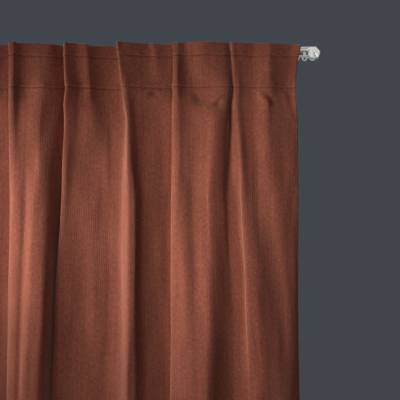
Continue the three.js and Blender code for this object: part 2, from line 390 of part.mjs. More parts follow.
const gliderGeometry = geometryOf(glider());
const pleatX = NOSES.map((_, i) => {
  const rows = [TAPE_TOP, TAPE_LOW].map((drop) => knots(drop).filter((k) => k.kind === 'under')[i].at[0]);
  return (rows[0] + rows[1]) / 2;
});
const carried = [
  { name: 'left_edge', x: -EDGE_GLIDER_X, jog: EDGE_JOG },
  ...pleatX.map((x, i) => ({ name: NOSES[i].pleat, x, jog: 0 })),
  { name: 'right_edge', x: EDGE_GLIDER_X, jog: -EDGE_JOG },
];
for (const { name, x, jog } of carried) {
  put(`glider_${name}`, gliderGeometry.clone(), plastic(), x);
  put(`hook_${name}`, hook(x, jog), plastic());
}
put('glider_spare', gliderGeometry.clone(), plastic(), SPARE_GLIDER_X);

export default group;
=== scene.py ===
# A ribbed velvet curtain hung from a slim white rail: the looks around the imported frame.
import math

import bmesh
import bpy
import numpy as np
from mathutils import Matrix, Vector

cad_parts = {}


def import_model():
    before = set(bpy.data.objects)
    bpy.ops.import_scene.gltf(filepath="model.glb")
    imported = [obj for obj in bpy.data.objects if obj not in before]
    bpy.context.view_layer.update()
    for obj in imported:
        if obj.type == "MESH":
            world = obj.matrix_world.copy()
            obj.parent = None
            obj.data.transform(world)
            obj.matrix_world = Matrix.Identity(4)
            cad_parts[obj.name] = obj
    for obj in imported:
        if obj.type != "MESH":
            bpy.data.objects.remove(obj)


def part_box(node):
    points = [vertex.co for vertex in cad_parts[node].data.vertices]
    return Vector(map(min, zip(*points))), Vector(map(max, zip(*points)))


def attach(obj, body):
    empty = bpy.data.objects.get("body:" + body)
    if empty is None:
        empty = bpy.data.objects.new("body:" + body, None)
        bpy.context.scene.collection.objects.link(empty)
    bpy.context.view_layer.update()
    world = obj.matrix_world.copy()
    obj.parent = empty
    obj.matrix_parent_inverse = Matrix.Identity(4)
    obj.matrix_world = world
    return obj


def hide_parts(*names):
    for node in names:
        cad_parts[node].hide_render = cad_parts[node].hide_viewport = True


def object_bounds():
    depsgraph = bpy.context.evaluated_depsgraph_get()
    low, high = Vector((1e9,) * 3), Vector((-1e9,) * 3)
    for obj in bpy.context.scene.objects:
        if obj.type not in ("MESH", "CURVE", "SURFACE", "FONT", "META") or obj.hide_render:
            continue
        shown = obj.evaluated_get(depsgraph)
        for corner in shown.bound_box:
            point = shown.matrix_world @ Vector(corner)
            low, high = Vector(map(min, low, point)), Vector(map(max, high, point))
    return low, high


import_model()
CAD_BOX = [list(map(float, c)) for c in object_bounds()]
MM = 0.001

# ------------------------------------------------------------------ camera
IMAGE_PX = 400
LENS_PX = 944.0
CAM_AT = (0.3078, -1.915, -0.486)
CAM_PITCH = math.radians(5.1)
CAM_YAW = math.radians(1.0)


def make_camera():
    data = bpy.data.cameras.new("camera")
    data.sensor_width = 36.0
    data.lens = LENS_PX / IMAGE_PX * 36.0
    data.clip_start, data.clip_end = 0.05, 50.0
    cam = bpy.data.objects.new("camera", data)
    bpy.context.scene.collection.objects.link(cam)
    cam.location = CAM_AT
    cam.rotation_euler = (math.radians(90) + CAM_PITCH, 0.0, CAM_YAW)
    bpy.context.scene.camera = cam
    return cam


make_camera()

# ------------------------------------------------------------------ the fold table, as the solid has it
CLOTH_T = 2.0
HEM_T = 3.0
CLOTH_TOP = 2.0
CLOTH_DROP = 2500.0
HEM_H = 80.0
SIDE_HEM = 24.0
PLANE_Y = -14.0
PIECE_GAP = 0.3
TAPE_T = 1.0
TAPE_GAP = 0.45
TAPE_TOP = 25.0
TAPE_LOW = 92.0
FLAT_W = 1.2          # the cut panel laid flat, metres

LEVELS = {"head": 0, "neck": 58, "pinch": 94, "throat": 126, "open": 164, "drape": 240, "mid": 324, "low": 504, "foot": 715, "knee": 1560, "hem": 2500}

# The nose of each pleat, the line where its crest turns: x across and f forward at each height, mm.
NOSES = [
    {"pleat": "p1", "cell": "A", "x": {"head": -336, "neck": -335.4, "pinch": -335, "throat": -335.5, "open": -336, "drape": -338.4, "mid": -341, "low": -346, "foot": -350, "knee": -352, "hem": -354}, "f": {"head": 31.6, "neck": 32.7, "pinch": 34.4, "throat": 32.5, "open": 27, "drape": 26, "mid": 23, "low": 20.5, "foot": 19.5, "knee": 20, "hem": 20}},
    {"pleat": "p2", "cell": "B", "x": {"head": -224, "neck": -219.7, "pinch": -217, "throat": -212.9, "open": -208, "drape": -207, "mid": -206, "low": -211, "foot": -214, "knee": -220, "hem": -226}, "f": {"head": 37.2, "neck": 35.2, "pinch": 31.4, "throat": 29, "open": 30.5, "drape": 30.8, "mid": 31, "low": 30.4, "foot": 29.8, "knee": 29.3, "hem": 29.3}},
    {"pleat": "p3", "cell": "E", "x": {"head": -112, "neck": -111.4, "pinch": -111, "throat": -110.5, "open": -110, "drape": -108.6, "mid": -107, "low": -107, "foot": -108, "knee": -110, "hem": -112}, "f": {"head": 35, "neck": 33.1, "pinch": 32, "throat": 31.1, "open": 30, "drape": 25.2, "mid": 20, "low": 18, "foot": 16, "knee": 16.5, "hem": 17}},
    {"pleat": "p4", "cell": "A", "x": {"head": 0.3, "neck": 2.2, "pinch": 4.9, "throat": 1.3, "open": 2.5, "drape": -1, "mid": -2.5, "low": -13, "foot": -17, "knee": -21, "hem": -25}, "f": {"head": 31.6, "neck": 32.7, "pinch": 34.4, "throat": 32.5, "open": 27, "drape": 26, "mid": 23, "low": 20.5, "foot": 19.5, "knee": 20, "hem": 20.5}},
    {"pleat": "p5", "cell": "B", "x": {"head": 107.4, "neck": 113.9, "pinch": 117.8, "throat": 123, "open": 128.5, "drape": 128.5, "mid": 131, "low": 131, "foot": 130, "knee": 125, "hem": 121}, "f": {"head": 37.2, "neck": 35.2, "pinch": 31.4, "throat": 29, "open": 30.5, "drape": 30.8, "mid": 31, "low": 30.4, "foot": 29.8, "knee": 30.3, "hem": 30.8}},
    {"pleat": "p6", "cell": "C", "x": {"head": 219.7, "neck": 220.2, "pinch": 219.5, "throat": 220.6, "open": 218.9, "drape": 218.5, "mid": 217.2, "low": 216.3, "foot": 216, "knee": 219, "hem": 221}, "f": {"head": 24.6, "neck": 25.7, "pinch": 26, "throat": 27.8, "open": 25.7, "drape": 20, "mid": 18.5, "low": 12.5, "foot": 15, "knee": 15.5, "hem": 16}},
    {"pleat": "p7", "cell": "D", "x": {"head": 338.6, "neck": 342.2, "pinch": 343.1, "throat": 344.5, "open": 346.1, "drape": 348.8, "mid": 353.4, "low": 364.1, "foot": 366, "knee": 363, "hem": 359}, "f": {"head": 25.5, "neck": 20.9, "pinch": 20, "throat": 18.8, "open": 19.8, "drape": 21.9, "mid": 14.8, "low": 15.9, "foot": 19.5, "knee": 20, "hem": 20.5}},
]
ENDS = {
    "left": {"x": {"head": -475, "neck": -472.5, "pinch": -471, "throat": -471.5, "open": -472, "drape": -473, "mid": -474, "low": -475, "foot": -476, "knee": -477, "hem": -478}, "f": {"head": 12, "neck": 13.9, "pinch": 15, "throat": 13.6, "open": 12, "drape": 10.6, "mid": 9, "low": 8, "foot": 8, "knee": 9, "hem": 10}},
    "right": {"x": {"head": 481.5, "neck": 471.2, "pinch": 468.4, "throat": 469.8, "open": 472.6, "drape": 472.7, "mid": 472.4, "low": 471.4, "foot": 473, "knee": 474, "hem": 475}, "f": {"head": 4.7, "neck": 9.9, "pinch": 12.9, "throat": 12.4, "open": 8.4, "drape": 6.5, "mid": 7.3, "low": 3.8, "foot": -1.6, "knee": -0.6, "hem": 0.4}},
}

# What the cloth does between one nose and the next: (share of the way across, depth forward).
CELLS = {
    "L": {
        "head": {"side": (0.13, 13), "dip": (0.27, 15), "ridge": (0.42, 12), "face": (0.58, 13), "fall": (0.74, 17), "tuck": (0.9, 14), "under": (1.02, 12)},
        "neck": {"side": (0.112, 13), "dip": (0.252, 12.5), "ridge": (0.42, 13.2), "face": (0.58, 16.1), "fall": (0.74, 15.8), "tuck": (0.9, 11.5), "under": (1.008, 10.1)},
        "pinch": {"side": (0.1, 13), "dip": (0.24, 11), "ridge": (0.42, 14), "face": (0.58, 18), "fall": (0.74, 15), "tuck": (0.9, 10), "under": (1, 9)},
        "throat": {"side": (0.1, 12.1), "dip": (0.24, 11.5), "ridge": (0.42, 14.5), "face": (0.58, 18.5), "fall": (0.74, 15), "tuck": (0.891, 9.1), "under": (1, 8.1)},
        "open": {"side": (0.1, 11), "dip": (0.24, 12), "ridge": (0.42, 15), "face": (0.58, 19), "fall": (0.74, 15), "tuck": (0.88, 8), "under": (1, 7)},
        "drape": {"side": (0.1, 11.5), "dip": (0.231, 14.4), "ridge": (0.392, 18.3), "face": (0.552, 19.5), "fall": (0.712, 13.6), "tuck": (0.861, 6.6), "under": (0.986, 7)},
        "mid": {"side": (0.1, 12), "dip": (0.22, 17), "ridge": (0.36, 22), "face": (0.52, 20), "fall": (0.68, 12), "tuck": (0.84, 5), "under": (0.97, 7)},
        "low": {"side": (0.08, 13), "dip": (0.2, 20), "ridge": (0.34, 24), "face": (0.5, 20), "fall": (0.66, 10), "tuck": (0.84, 3), "under": (0.97, 6)},
        "foot": {"side": (0.08, 14), "dip": (0.2, 22), "ridge": (0.34, 25), "face": (0.5, 20), "fall": (0.66, 8), "tuck": (0.84, 1), "under": (0.97, 4)},
    },
    "A": {
        "head": {"side": (0.1, 26.5), "dip": (0.216, 21.4), "ridge": (0.421, 19.5), "face": (0.467, 13.5), "fall": (0.567, 8.7), "tuck": (0.76, 2), "under": (0.988, 0.5)},
        "neck": {"side": (0.11, 26.1), "dip": (0.213, 19.8), "ridge": (0.422, 19.2), "face": (0.472, 12.5), "fall": (0.555, 6.4), "tuck": (0.724, 0.9), "under": (0.982, 0.5)},
        "pinch": {"side": (0.134, 26), "dip": (0.236, 18.4), "ridge": (0.414, 17.6), "face": (0.466, 12), "fall": (0.548, 5.2), "tuck": (0.704, 0.5), "under": (0.986, 0.5)},
        "throat": {"side": (0.12, 27.5), "dip": (0.225, 20), "ridge": (0.413, 16.2), "face": (0.474, 13.7), "fall": (0.602, 6), "tuck": (0.727, 1.4), "under": (0.956, 0.5)},
        "open": {"side": (0.1, 24.5), "dip": (0.225, 18), "ridge": (0.434, 15.4), "face": (0.513, 12.8), "fall": (0.63, 6.8), "tuck": (0.748, 2.3), "under": (0.947, 3.6)},
        "drape": {"side": (0.054, 27.5), "dip": (0.162, 21.5), "ridge": (0.4, 13.4), "face": (0.548, 10.9), "fall": (0.675, 10), "tuck": (0.76, 7.6), "under": (0.936, 10.3)},
        "mid": {"side": (0.049, 24.5), "dip": (0.169, 20), "ridge": (0.393, 14.5), "face": (0.548, 12), "fall": (0.666, 9.2), "tuck": (0.769, 7.6), "under": (0.894, 10.4)},
        "low": {"side": (0.042, 21.8), "dip": (0.16, 18.8), "ridge": (0.368, 11.5), "face": (0.535, 8.8), "fall": (0.653, 7.3), "tuck": (0.764, 5.5), "under": (0.903, 8.4)},
        "foot": {"side": (0.041, 20.5), "dip": (0.136, 18), "ridge": (0.374, 10.5), "face": (0.551, 7.8), "fall": (0.677, 6.2), "tuck": (0.802, 5.5), "under": (0.898, 10.9)},
    },
    "B": {
        "head": {"side": (0.083, 34.1), "dip": (0.235, 29), "ridge": (0.396, 22.3), "face": (0.574, 16.2), "fall": (0.641, 18.6), "tuck": (0.891, 10.5), "under": (1.092, 10.1)},
        "neck": {"side": (0.09, 33.3), "dip": (0.215, 27.4), "ridge": (0.371, 20.7), "face": (0.524, 16.2), "fall": (0.703, 15.2), "tuck": (0.886, 11.1), "under": (1.073, 9.7)},
        "pinch": {"side": (0.074, 33.8), "dip": (0.2, 27.9), "ridge": (0.341, 22.6), "face": (0.529, 17.5), "fall": (0.733, 11.8), "tuck": (0.884, 8.1), "under": (1.084, 5.2)},
        "throat": {"side": (0.077, 28.6), "dip": (0.128, 25.8), "ridge": (0.179, 22), "face": (0.302, 18.6), "fall": (0.554, 13.8), "tuck": (0.892, 10.5), "under": (0.994, 11)},
        "open": {"side": (0.055, 30), "dip": (0.105, 27), "ridge": (0.138, 23), "face": (0.249, 19.3), "fall": (0.536, 12.3), "tuck": (0.912, 8.6), "under": (1.012, 9.5)},
        "drape": {"side": (0.061, 30.8), "dip": (0.131, 27), "ridge": (0.1, 21.8), "face": (0.25, 18.6), "fall": (0.55, 12.2), "tuck": (0.917, 5.5), "under": (1.05, 6.5)},
        "mid": {"side": (0.087, 31), "dip": (0.186, 27.3), "ridge": (0.11, 20), "face": (0.278, 18.8), "fall": (0.592, 11.3), "tuck": (0.928, 3.6), "under": (1.05, 5.5)},
        "low": {"side": (0.106, 31.4), "dip": (0.199, 27.4), "ridge": (0.117, 19.5), "face": (0.281, 17.8), "fall": (0.586, 10), "tuck": (0.903, 2.4), "under": (1.043, 3.5)},
        "foot": {"side": (0.105, 29), "dip": (0.227, 23), "ridge": (0.163, 15), "face": (0.337, 13.2), "fall": (0.605, 7), "tuck": (0.884, 0.6), "under": (1.041, 2)},
    },
    "C": {
        "head": {"side": (0.08, 26.7), "dip": (0.217, 21.3), "ridge": (0.313, 26.2), "face": (0.547, 33), "fall": (0.784, 26.7), "tuck": (0.947, 18.7), "under": (0.929, 1.4)},
        "neck": {"side": (0.074, 29.3), "dip": (0.166, 20.8), "ridge": (0.285, 18.4), "face": (0.498, 27), "fall": (0.79, 27.4), "tuck": (0.942, 18.8), "under": (0.925, 2.6)},
        "pinch": {"side": (0.079, 30.8), "dip": (0.166, 24), "ridge": (0.353, 17.6), "face": (0.585, 20.5), "fall": (0.807, 26.9), "tuck": (0.948, 22.5), "under": (0.944, 3.5)},
        "throat": {"side": (0.073, 31.7), "dip": (0.188, 28), "ridge": (0.328, 25.4), "face": (0.549, 24.7), "fall": (0.713, 25.3), "tuck": (0.91, 18.3), "under": (0.877, 6.1)},
        "open": {"side": (0.083, 29.4), "dip": (0.207, 25.5), "ridge": (0.334, 23.5), "face": (0.538, 26.8), "fall": (0.69, 30.6), "tuck": (0.881, 19.8), "under": (0.897, 12.4)},
        "drape": {"side": (0.098, 27.2), "dip": (0.2, 24.8), "ridge": (0.347, 22.1), "face": (0.517, 26.6), "fall": (0.628, 31.2), "tuck": (0.806, 22.8), "under": (0.863, 15.2)},
        "mid": {"side": (0.077, 27.2), "dip": (0.211, 26.6), "ridge": (0.324, 23.5), "face": (0.515, 26), "fall": (0.556, 27.9), "tuck": (0.762, 19.2), "under": (0.824, 13.6)},
        "low": {"side": (0.111, 23.8), "dip": (0.22, 29.8), "ridge": (0.35, 29.3), "face": (0.475, 32.9), "fall": (0.562, 32.9), "tuck": (0.768, 20), "under": (0.824, 16.9)},
        "foot": {"side": (0.118, 27.6), "dip": (0.198, 32.1), "ridge": (0.331, 36.9), "face": (0.469, 39.8), "fall": (0.546, 36.6), "tuck": (0.753, 17), "under": (0.867, 15)},
    },
    "E": {
        "head": {"side": (0.094, 37.5), "dip": (0.172, 28.5), "ridge": (0.314, 24.8), "face": (0.541, 21.2), "fall": (0.742, 16.8), "tuck": (0.865, 6.4), "under": (0.942, 2)},
        "neck": {"side": (0.087, 36.1), "dip": (0.166, 26.9), "ridge": (0.315, 23.5), "face": (0.551, 23.1), "fall": (0.734, 17.1), "tuck": (0.881, 7.4), "under": (0.956, 3.8)},
        "pinch": {"side": (0.082, 34.4), "dip": (0.158, 25), "ridge": (0.312, 21.9), "face": (0.565, 26.8), "fall": (0.752, 18.9), "tuck": (0.908, 7.6), "under": (0.961, 4.5)},
        "throat": {"side": (0.081, 33.5), "dip": (0.179, 26.8), "ridge": (0.321, 25.8), "face": (0.56, 28), "fall": (0.688, 22.7), "tuck": (0.89, 11.4), "under": (0.991, 3.5)},
        "open": {"side": (0.074, 32.2), "dip": (0.186, 28.2), "ridge": (0.32, 27.9), "face": (0.539, 29.8), "fall": (0.652, 24.6), "tuck": (0.85, 15), "under": (0.966, 3.2)},
        "drape": {"side": (0.077, 30.3), "dip": (0.199, 30.4), "ridge": (0.33, 29.7), "face": (0.515, 32.2), "fall": (0.582, 33), "tuck": (0.786, 24), "under": (1.023, 4.5)},
        "mid": {"side": (0.077, 29), "dip": (0.205, 32), "ridge": (0.331, 31), "face": (0.469, 40), "fall": (0.584, 40), "tuck": (0.766, 34), "under": (1.024, 6)},
        "low": {"side": (0.085, 29.5), "dip": (0.208, 33), "ridge": (0.324, 32), "face": (0.479, 44), "fall": (0.638, 46), "tuck": (0.819, 42), "under": (1.032, 6)},
        "foot": {"side": (0.093, 29.2), "dip": (0.199, 33.5), "ridge": (0.308, 33), "face": (0.418, 44), "fall": (0.604, 46), "tuck": (0.791, 42), "under": (1.033, 6)},
    },
    "D": {
        "head": {"side": (0.086, 23.4), "dip": (0.161, 21.8), "ridge": (0.326, 15.2), "face": (0.469, 17.2), "fall": (0.556, 18), "tuck": (0.678, 12.4), "under": (0.866, 4.8)},
        "neck": {"side": (0.063, 20.5), "dip": (0.144, 17), "ridge": (0.31, 13), "face": (0.489, 18.8), "fall": (0.573, 21), "tuck": (0.692, 15.2), "under": (0.87, 9.1)},
        "pinch": {"side": (0.058, 21.7), "dip": (0.155, 17.5), "ridge": (0.314, 14.2), "face": (0.491, 20.3), "fall": (0.588, 21), "tuck": (0.725, 14.3), "under": (0.895, 8.4)},
        "throat": {"side": (0.045, 20.8), "dip": (0.15, 16.9), "ridge": (0.348, 14.2), "face": (0.535, 21.6), "fall": (0.602, 19.3), "tuck": (0.79, 13.5), "under": (0.911, 9.9)},
        "open": {"side": (0.048, 22.3), "dip": (0.163, 18), "ridge": (0.297, 16.1), "face": (0.508, 21.3), "fall": (0.599, 18.9), "tuck": (0.779, 14), "under": (0.919, 10)},
        "drape": {"side": (0.07, 25.3), "dip": (0.185, 20), "ridge": (0.334, 16.8), "face": (0.502, 20.7), "fall": (0.597, 19.2), "tuck": (0.78, 13.3), "under": (0.924, 9.9)},
        "mid": {"side": (0.04, 25.4), "dip": (0.196, 22), "ridge": (0.316, 18.5), "face": (0.478, 18.8), "fall": (0.615, 19.4), "tuck": (0.784, 14.9), "under": (0.91, 10.7)},
        "low": {"side": (0.007, 30), "dip": (0.232, 30.6), "ridge": (0.404, 23.4), "face": (0.554, 18.1), "fall": (0.684, 14.9), "tuck": (0.821, 11.9), "under": (0.93, 8.3)},
        "foot": {"side": (0.093, 24), "dip": (0.28, 24.5), "ridge": (0.542, 19.5), "face": (0.676, 16.6), "fall": (0.772, 11.9), "tuck": (0.851, 8.1), "under": (0.928, 3.2)},
    },
}
# How far the top edge droops at each of these lines where the heading is slack, mm.
SAGS = {"A": {"ridge": 1, "face": 3.5, "fall": 2.6, "tuck": 1}, "C": {"face": 0.6}, "L": {"fall": 1.2, "tuck": 0.8}}
SAG_DEPTH = 92.0
COLUMNS = ("side", "dip", "ridge", "face", "fall", "tuck", "under")
# Columns of the fine mesh between one knot of a section and the next: more where the cloth turns.
STEPS = {"end": 6, "nose": 6, "side": 6, "dip": 5, "ridge": 5, "face": 5, "fall": 5, "tuck": 6, "under": 6}


def down(row, drops):
    """Monotone cubic through a named row of values at the table's heights."""
    at = np.array(list(LEVELS.values()), float)
    v = np.array([row[n] if n in row else row["foot"] for n in LEVELS], float)
    slope = np.diff(v) / np.diff(at)
    tangent = np.empty(len(v))
    tangent[0], tangent[-1] = slope[0], slope[-1]
    for i in range(1, len(v) - 1):
        a, b = slope[i - 1], slope[i]
        tangent[i] = 0.0 if a * b <= 0 else 2 * a * b / (a + b)
    i = np.clip(np.searchsorted(at, drops, side="right") - 1, 0, len(at) - 2)
    h = (at[1:] - at[:-1])[i]
    t = np.clip((drops - at[i]) / h, 0, 1)
    t2, t3 = t * t, t * t * t
    return (2 * t3 - 3 * t2 + 1) * v[i] + (t3 - 2 * t2 + t) * h * tangent[i] + (3 * t2 - 2 * t3) * v[i + 1] + (t3 - t2) * h * tangent[i + 1]


def knots(drops):
    """The knots of the sections at these depths: kinds, places (knot, row, 2) and sags."""
    left = np.stack([down(ENDS["left"]["x"], drops), down(ENDS["left"]["f"], drops)], -1)
    right = np.stack([down(ENDS["right"]["x"], drops), down(ENDS["right"]["f"], drops)], -1)
    stops = [left] + [np.stack([down(n["x"], drops), down(n["f"], drops)], -1) for n in NOSES] + [right]
    kinds, places, sags, cells = [], [], [], []
    for i, name in enumerate(["L"] + [n["cell"] for n in NOSES]):
        a, b = stops[i], stops[i + 1]
        kinds.append("end" if i == 0 else "nose"); places.append(a); sags.append(0.0); cells.append(i)
        for column in COLUMNS:
            share = down({k: v[column][0] for k, v in CELLS[name].items()}, drops)
            depth = down({k: v[column][1] for k, v in CELLS[name].items()}, drops)
            kinds.append(column); cells.append(i)
            places.append(np.stack([a[:, 0] + share * (b[:, 0] - a[:, 0]), depth], -1))
            sags.append(SAGS.get(name, {}).get(column, 0.0))
    kinds.append("end"); places.append(right); sags.append(0.0); cells.append(len(NOSES))
    return kinds, np.array(places), np.array(sags), cells


def spline(a, b, c, d, t):
    """A point of the centripetal spline between b and c, for every row at once."""
    def step(p, q):
        return np.maximum(np.sqrt(np.linalg.norm(q - p, axis=-1)), 1e-6)[:, None]
    t1 = step(a, b)
    t2 = t1 + step(b, c)
    t3 = t2 + step(c, d)
    u = t1 + (t2 - t1) * t
    def mix(p, q, s0, s1):
        return (p * (s1 - u) + q * (u - s0)) / (s1 - s0)
    zero = np.zeros_like(t1)
    ab, bc, cd = mix(a, b, zero, t1), mix(b, c, t1, t2), mix(c, d, t2, t3)
    return mix(mix(ab, bc, zero, t2), mix(bc, cd, t1, t3), t1, t2)


def sections(drops):
    """The cloth's face at these depths: place (row, column, 2) in mm, sag (column), cell of each column."""
    kinds, p, sag, cells = knots(drops)
    n = len(kinds)
    cols, sags, cell = [], [], []
    for i in range(n - 1):
        a = p[i - 1] if i > 0 else 2 * p[0] - p[1]
        d = p[i + 2] if i < n - 2 else 2 * p[n - 1] - p[n - 2]
        steps = STEPS[kinds[i]]
        for s in range(steps):
            cols.append(spline(a, p[i], p[i + 1], d, s / steps))
            sags.append(sag[i] + (sag[i + 1] - sag[i]) * s / steps)
            cell.append(cells[i])
    cols.append(p[n - 1]); sags.append(0.0); cell.append(cells[n - 1])
    return np.array(cols).transpose(1, 0, 2), np.array(sags), np.array(cell)


def forward_of(sec):
    """Unit directions square to each section, out of the face, in (x, f)."""
    d = np.zeros_like(sec)
    d[:, 1:-1] = sec[:, 2:] - sec[:, :-2]
    d[:, 0], d[:, -1] = sec[:, 1] - sec[:, 0], sec[:, -1] - sec[:, -2]
    d /= np.maximum(np.linalg.norm(d, axis=-1, keepdims=True), 1e-9)
    return np.stack([-d[..., 1], d[..., 0]], -1)


def arcs_of(sec, cell):
    """Place across the flat cloth, metres: each pleat takes its own share of it at every height."""
    step = np.linalg.norm(np.diff(sec, axis=1), axis=-1)
    run = np.concatenate([np.zeros((len(sec), 1)), np.cumsum(step, 1)], 1)
    first = [int(np.argmax(cell == c)) for c in range(int(cell.max()) + 1)] + [sec.shape[1] - 1]
    length = np.array([np.mean(run[:, first[k + 1]] - run[:, first[k]]) for k in range(len(first) - 1)])
    start = np.concatenate([[0], np.cumsum(length)]) * (FLAT_W / length.sum())
    u = np.zeros_like(run)
    for k in range(len(first) - 1):
        a, b = first[k], first[k + 1]
        share = (run[:, a:b + 1] - run[:, a:a + 1]) / (run[:, b:b + 1] - run[:, a:a + 1])
        u[:, a:b + 1] = start[k] + share * (start[k + 1] - start[k])
    return u


# ------------------------------------------------------------------ rows of the fine mesh, depth below the top in mm
def cloth_rows():
    rows = list(np.arange(0, 132, 4.0))
    for line in (TAPE_TOP + 1.5, TAPE_LOW - 1.0):
        rows += list(line + np.arange(-18.0, 6.01, 1.0))
    rows += [1.0, 2.5] + list(np.arange(132, 340, 9.0)) + list(np.arange(340, 730, 14.0)) + list(np.arange(730, 2400, 44.0))
    hem = CLOTH_DROP - HEM_H
    rows += [hem - 22, hem - 10, hem - 5, hem - 2.5, hem, hem + 2.5, hem + 5, hem + 14, hem + 32, hem + 50, hem + 66, CLOTH_DROP - 5, CLOTH_DROP - 1.5, CLOTH_DROP]
    rows = sorted(set(round(r, 2) for r in rows))
    kept = [rows[0]]
    for r in rows[1:]:
        if r - kept[-1] >= 0.9:
            kept.append(r)
    kept[-1] = CLOTH_DROP
    return np.array(kept)


# ------------------------------------------------------------------ small folds and creases of the face
def bump(d, width):
    return np.exp(-0.5 * (d / width) ** 2)


def smoothstep(a, b, x):
    t = np.clip((x - a) / (b - a), 0, 1)
    return t * t * (3 - 2 * t)


def ragged(mm, scale, turn):
    """An uneven 0..1 run along the cloth: three waves that never line up."""
    way = np.sin(mm / scale + turn) + 0.8 * np.sin(mm / (scale * 0.43) + 2.3 * turn) + 0.6 * np.sin(mm / (scale * 0.19) + 4.1 * turn)
    return np.clip(0.5 + way / 3.6, 0, 1)


def relief(x, drop, u):
    """How far the face stands in or out from the fold table, mm: slack waves, puckers at the two stitch rows, creases."""
    out = np.zeros_like(x)
    # slow waves of the hanging cloth, growing below the heading
    free = smoothstep(60, 500, drop)
    for k, (wide, tall, size, turn) in enumerate(WAVES):
        out += free * size * np.sin(2 * math.pi * (u * 1000 / wide + turn) + 1.7 * np.sin(2 * math.pi * drop / tall + 2.1 * k))
    # the two rows of stitching draw the cloth in: a groove, a lip that stands over it, and gathers squeezed up along it
    mm = u * 1000
    for line in STITCH_ROWS:
        off = drop - line - 0.35 * np.sin(mm / 23.0 + line) - 0.25 * np.sin(mm / 9.0 + 0.7)
        pull = ragged(mm, 26.0, line)
        uneven = (0.55 + 0.75 * pull) * (1 + 0.25 * np.sin(2 * math.pi * mm / 9.3) + 0.2 * np.sin(2 * math.pi * mm / 5.9 + 1.0))
        out -= bump(off, 1.3) * 1.7 * uneven
        out += bump(off + 3.2, 1.6) * (0.5 + 1.3 * ragged(mm, 33.0, line + 2.0))
        out += bump(off - 4.0, 2.6) * 0.5 * ragged(mm, 21.0, line + 5.0)
        near = bump(off, 7.0) - bump(off, 1.5)
        out += near * (0.26 * np.sin(2 * math.pi * mm / 7.1 + 0.8 * np.sin(u * 90)) + 0.3 * np.sin(2 * math.pi * mm / 17.0 + line))
        pleats = smoothstep(line - 19, line - 14, drop) * (1 - smoothstep(line - 5, line - 2.5, drop))
        wavy = drop - line + 0.9 * np.sin(mm / 19.0 + line) + 0.4 * np.sin(mm / 7.3)
        out += pleats * 0.62 * np.sin(2 * math.pi * wavy / 4.1) * np.clip(ragged(mm, 29.0, line + 8.0) * 1.6 - 0.15, 0, 1)
    for c in CREASES:
        along = np.array([c["b"][0] - c["a"][0], c["b"][1] - c["a"][1]], float)
        length = np.hypot(*along)
        dx, dy = x - c["a"][0], drop - c["a"][1]
        t = (dx * along[0] + dy * along[1]) / length
        side = (-dx * along[1] + dy * along[0]) / length
        ends = smoothstep(-c["fade"], c["fade"], t) * (1 - smoothstep(length - c["fade"], length + c["fade"], t))
        out += c["rise"] * bump(side, c["width"]) * ends
    return out


STITCH_ROWS = (26.5, 91.0)
# wavelength across, wander down, size, phase
WAVES = ((61.0, 720.0, 0.5, 0.1), (37.0, 430.0, 0.28, 0.55), (23.0, 260.0, 0.14, 0.3))
# soft creases: from a to b (x, drop), mm across the line, mm in or out
CREASES = [
    # small pocket under the lower seam, between the second and third folds
    {"a": (174, 100.5), "b": (190, 105), "rise": -4.2, "width": 2.3, "fade": 3.0},
    {"a": (172, 97), "b": (186, 100), "rise": 1.2, "width": 2.4, "fade": 4.0},
    # pouch under the seam, left of the last fold
    {"a": (264, 116), "b": (318, 123), "rise": -5.2, "width": 8.0, "fade": 9.0},
    {"a": (270, 98), "b": (312, 101), "rise": 1.6, "width": 4.0, "fade": 7.0},
    {"a": (286, 134), "b": (315, 112), "rise": 3.2, "width": 3.0, "fade": 5.0},
    # slanting crease in the last panel's heading
    {"a": (366, 66), "b": (410, 57), "rise": -1.9, "width": 1.7, "fade": 6.0},
    {"a": (366, 73), "b": (412, 64), "rise": 1.4, "width": 3.4, "fade": 7.0},
    {"a": (372, 43), "b": (414, 40), "rise": 1.0, "width": 2.4, "fade": 8.0},
    {"a": (370, 50), "b": (408, 48), "rise": -0.8, "width": 2.0, "fade": 8.0},
    # short ridge running down to the right under the seam
    {"a": (393, 102), "b": (413, 127), "rise": 3.9, "width": 3.8, "fade": 6.0},
    {"a": (405, 98), "b": (425, 122), "rise": -1.3, "width": 3.6, "fade": 7.0},
    # slack dents close to the right edge and the first folds
    {"a": (446, 100), "b": (462, 158), "rise": 1.7, "width": 5.0, "fade": 10.0},
    {"a": (236, 62), "b": (262, 58), "rise": -0.8, "width": 2.6, "fade": 6.0},
    {"a": (262, 78), "b": (300, 74), "rise": 0.8, "width": 3.0, "fade": 8.0},
    {"a": (132, 112), "b": (168, 122), "rise": -1.0, "width": 4.0, "fade": 8.0},
    {"a": (30, 62), "b": (44, 70), "rise": 0.8, "width": 2.6, "fade": 5.0},
    {"a": (62, 84), "b": (104, 79), "rise": 0.8, "width": 2.4, "fade": 8.0},
    # the sharp brow of the second fold, and the thin edges of the last one and of the first
    {"a": (123, 190), "b": (121.5, 560), "rise": 0.9, "width": 1.8, "fade": 40.0},
    {"a": (128, 190), "b": (126.5, 560), "rise": -0.5, "width": 2.6, "fade": 40.0},
    {"a": (341, 130), "b": (345, 300), "rise": 0.6, "width": 1.6, "fade": 24.0},
    # faint breaks across the long drops
    {"a": (40, 330), "b": (78, 318), "rise": 0.7, "width": 10.0, "fade": 14.0},
    {"a": (232, 250), "b": (262, 300), "rise": -0.8, "width": 7.0, "fade": 14.0},
    {"a": (244, 440), "b": (300, 470), "rise": 0.8, "width": 12.0, "fade": 18.0},
    {"a": (372, 300), "b": (430, 360), "rise": 0.8, "width": 10.0, "fade": 18.0},
    {"a": (60, 520), "b": (104, 500), "rise": -0.6, "width": 12.0, "fade": 18.0},
]


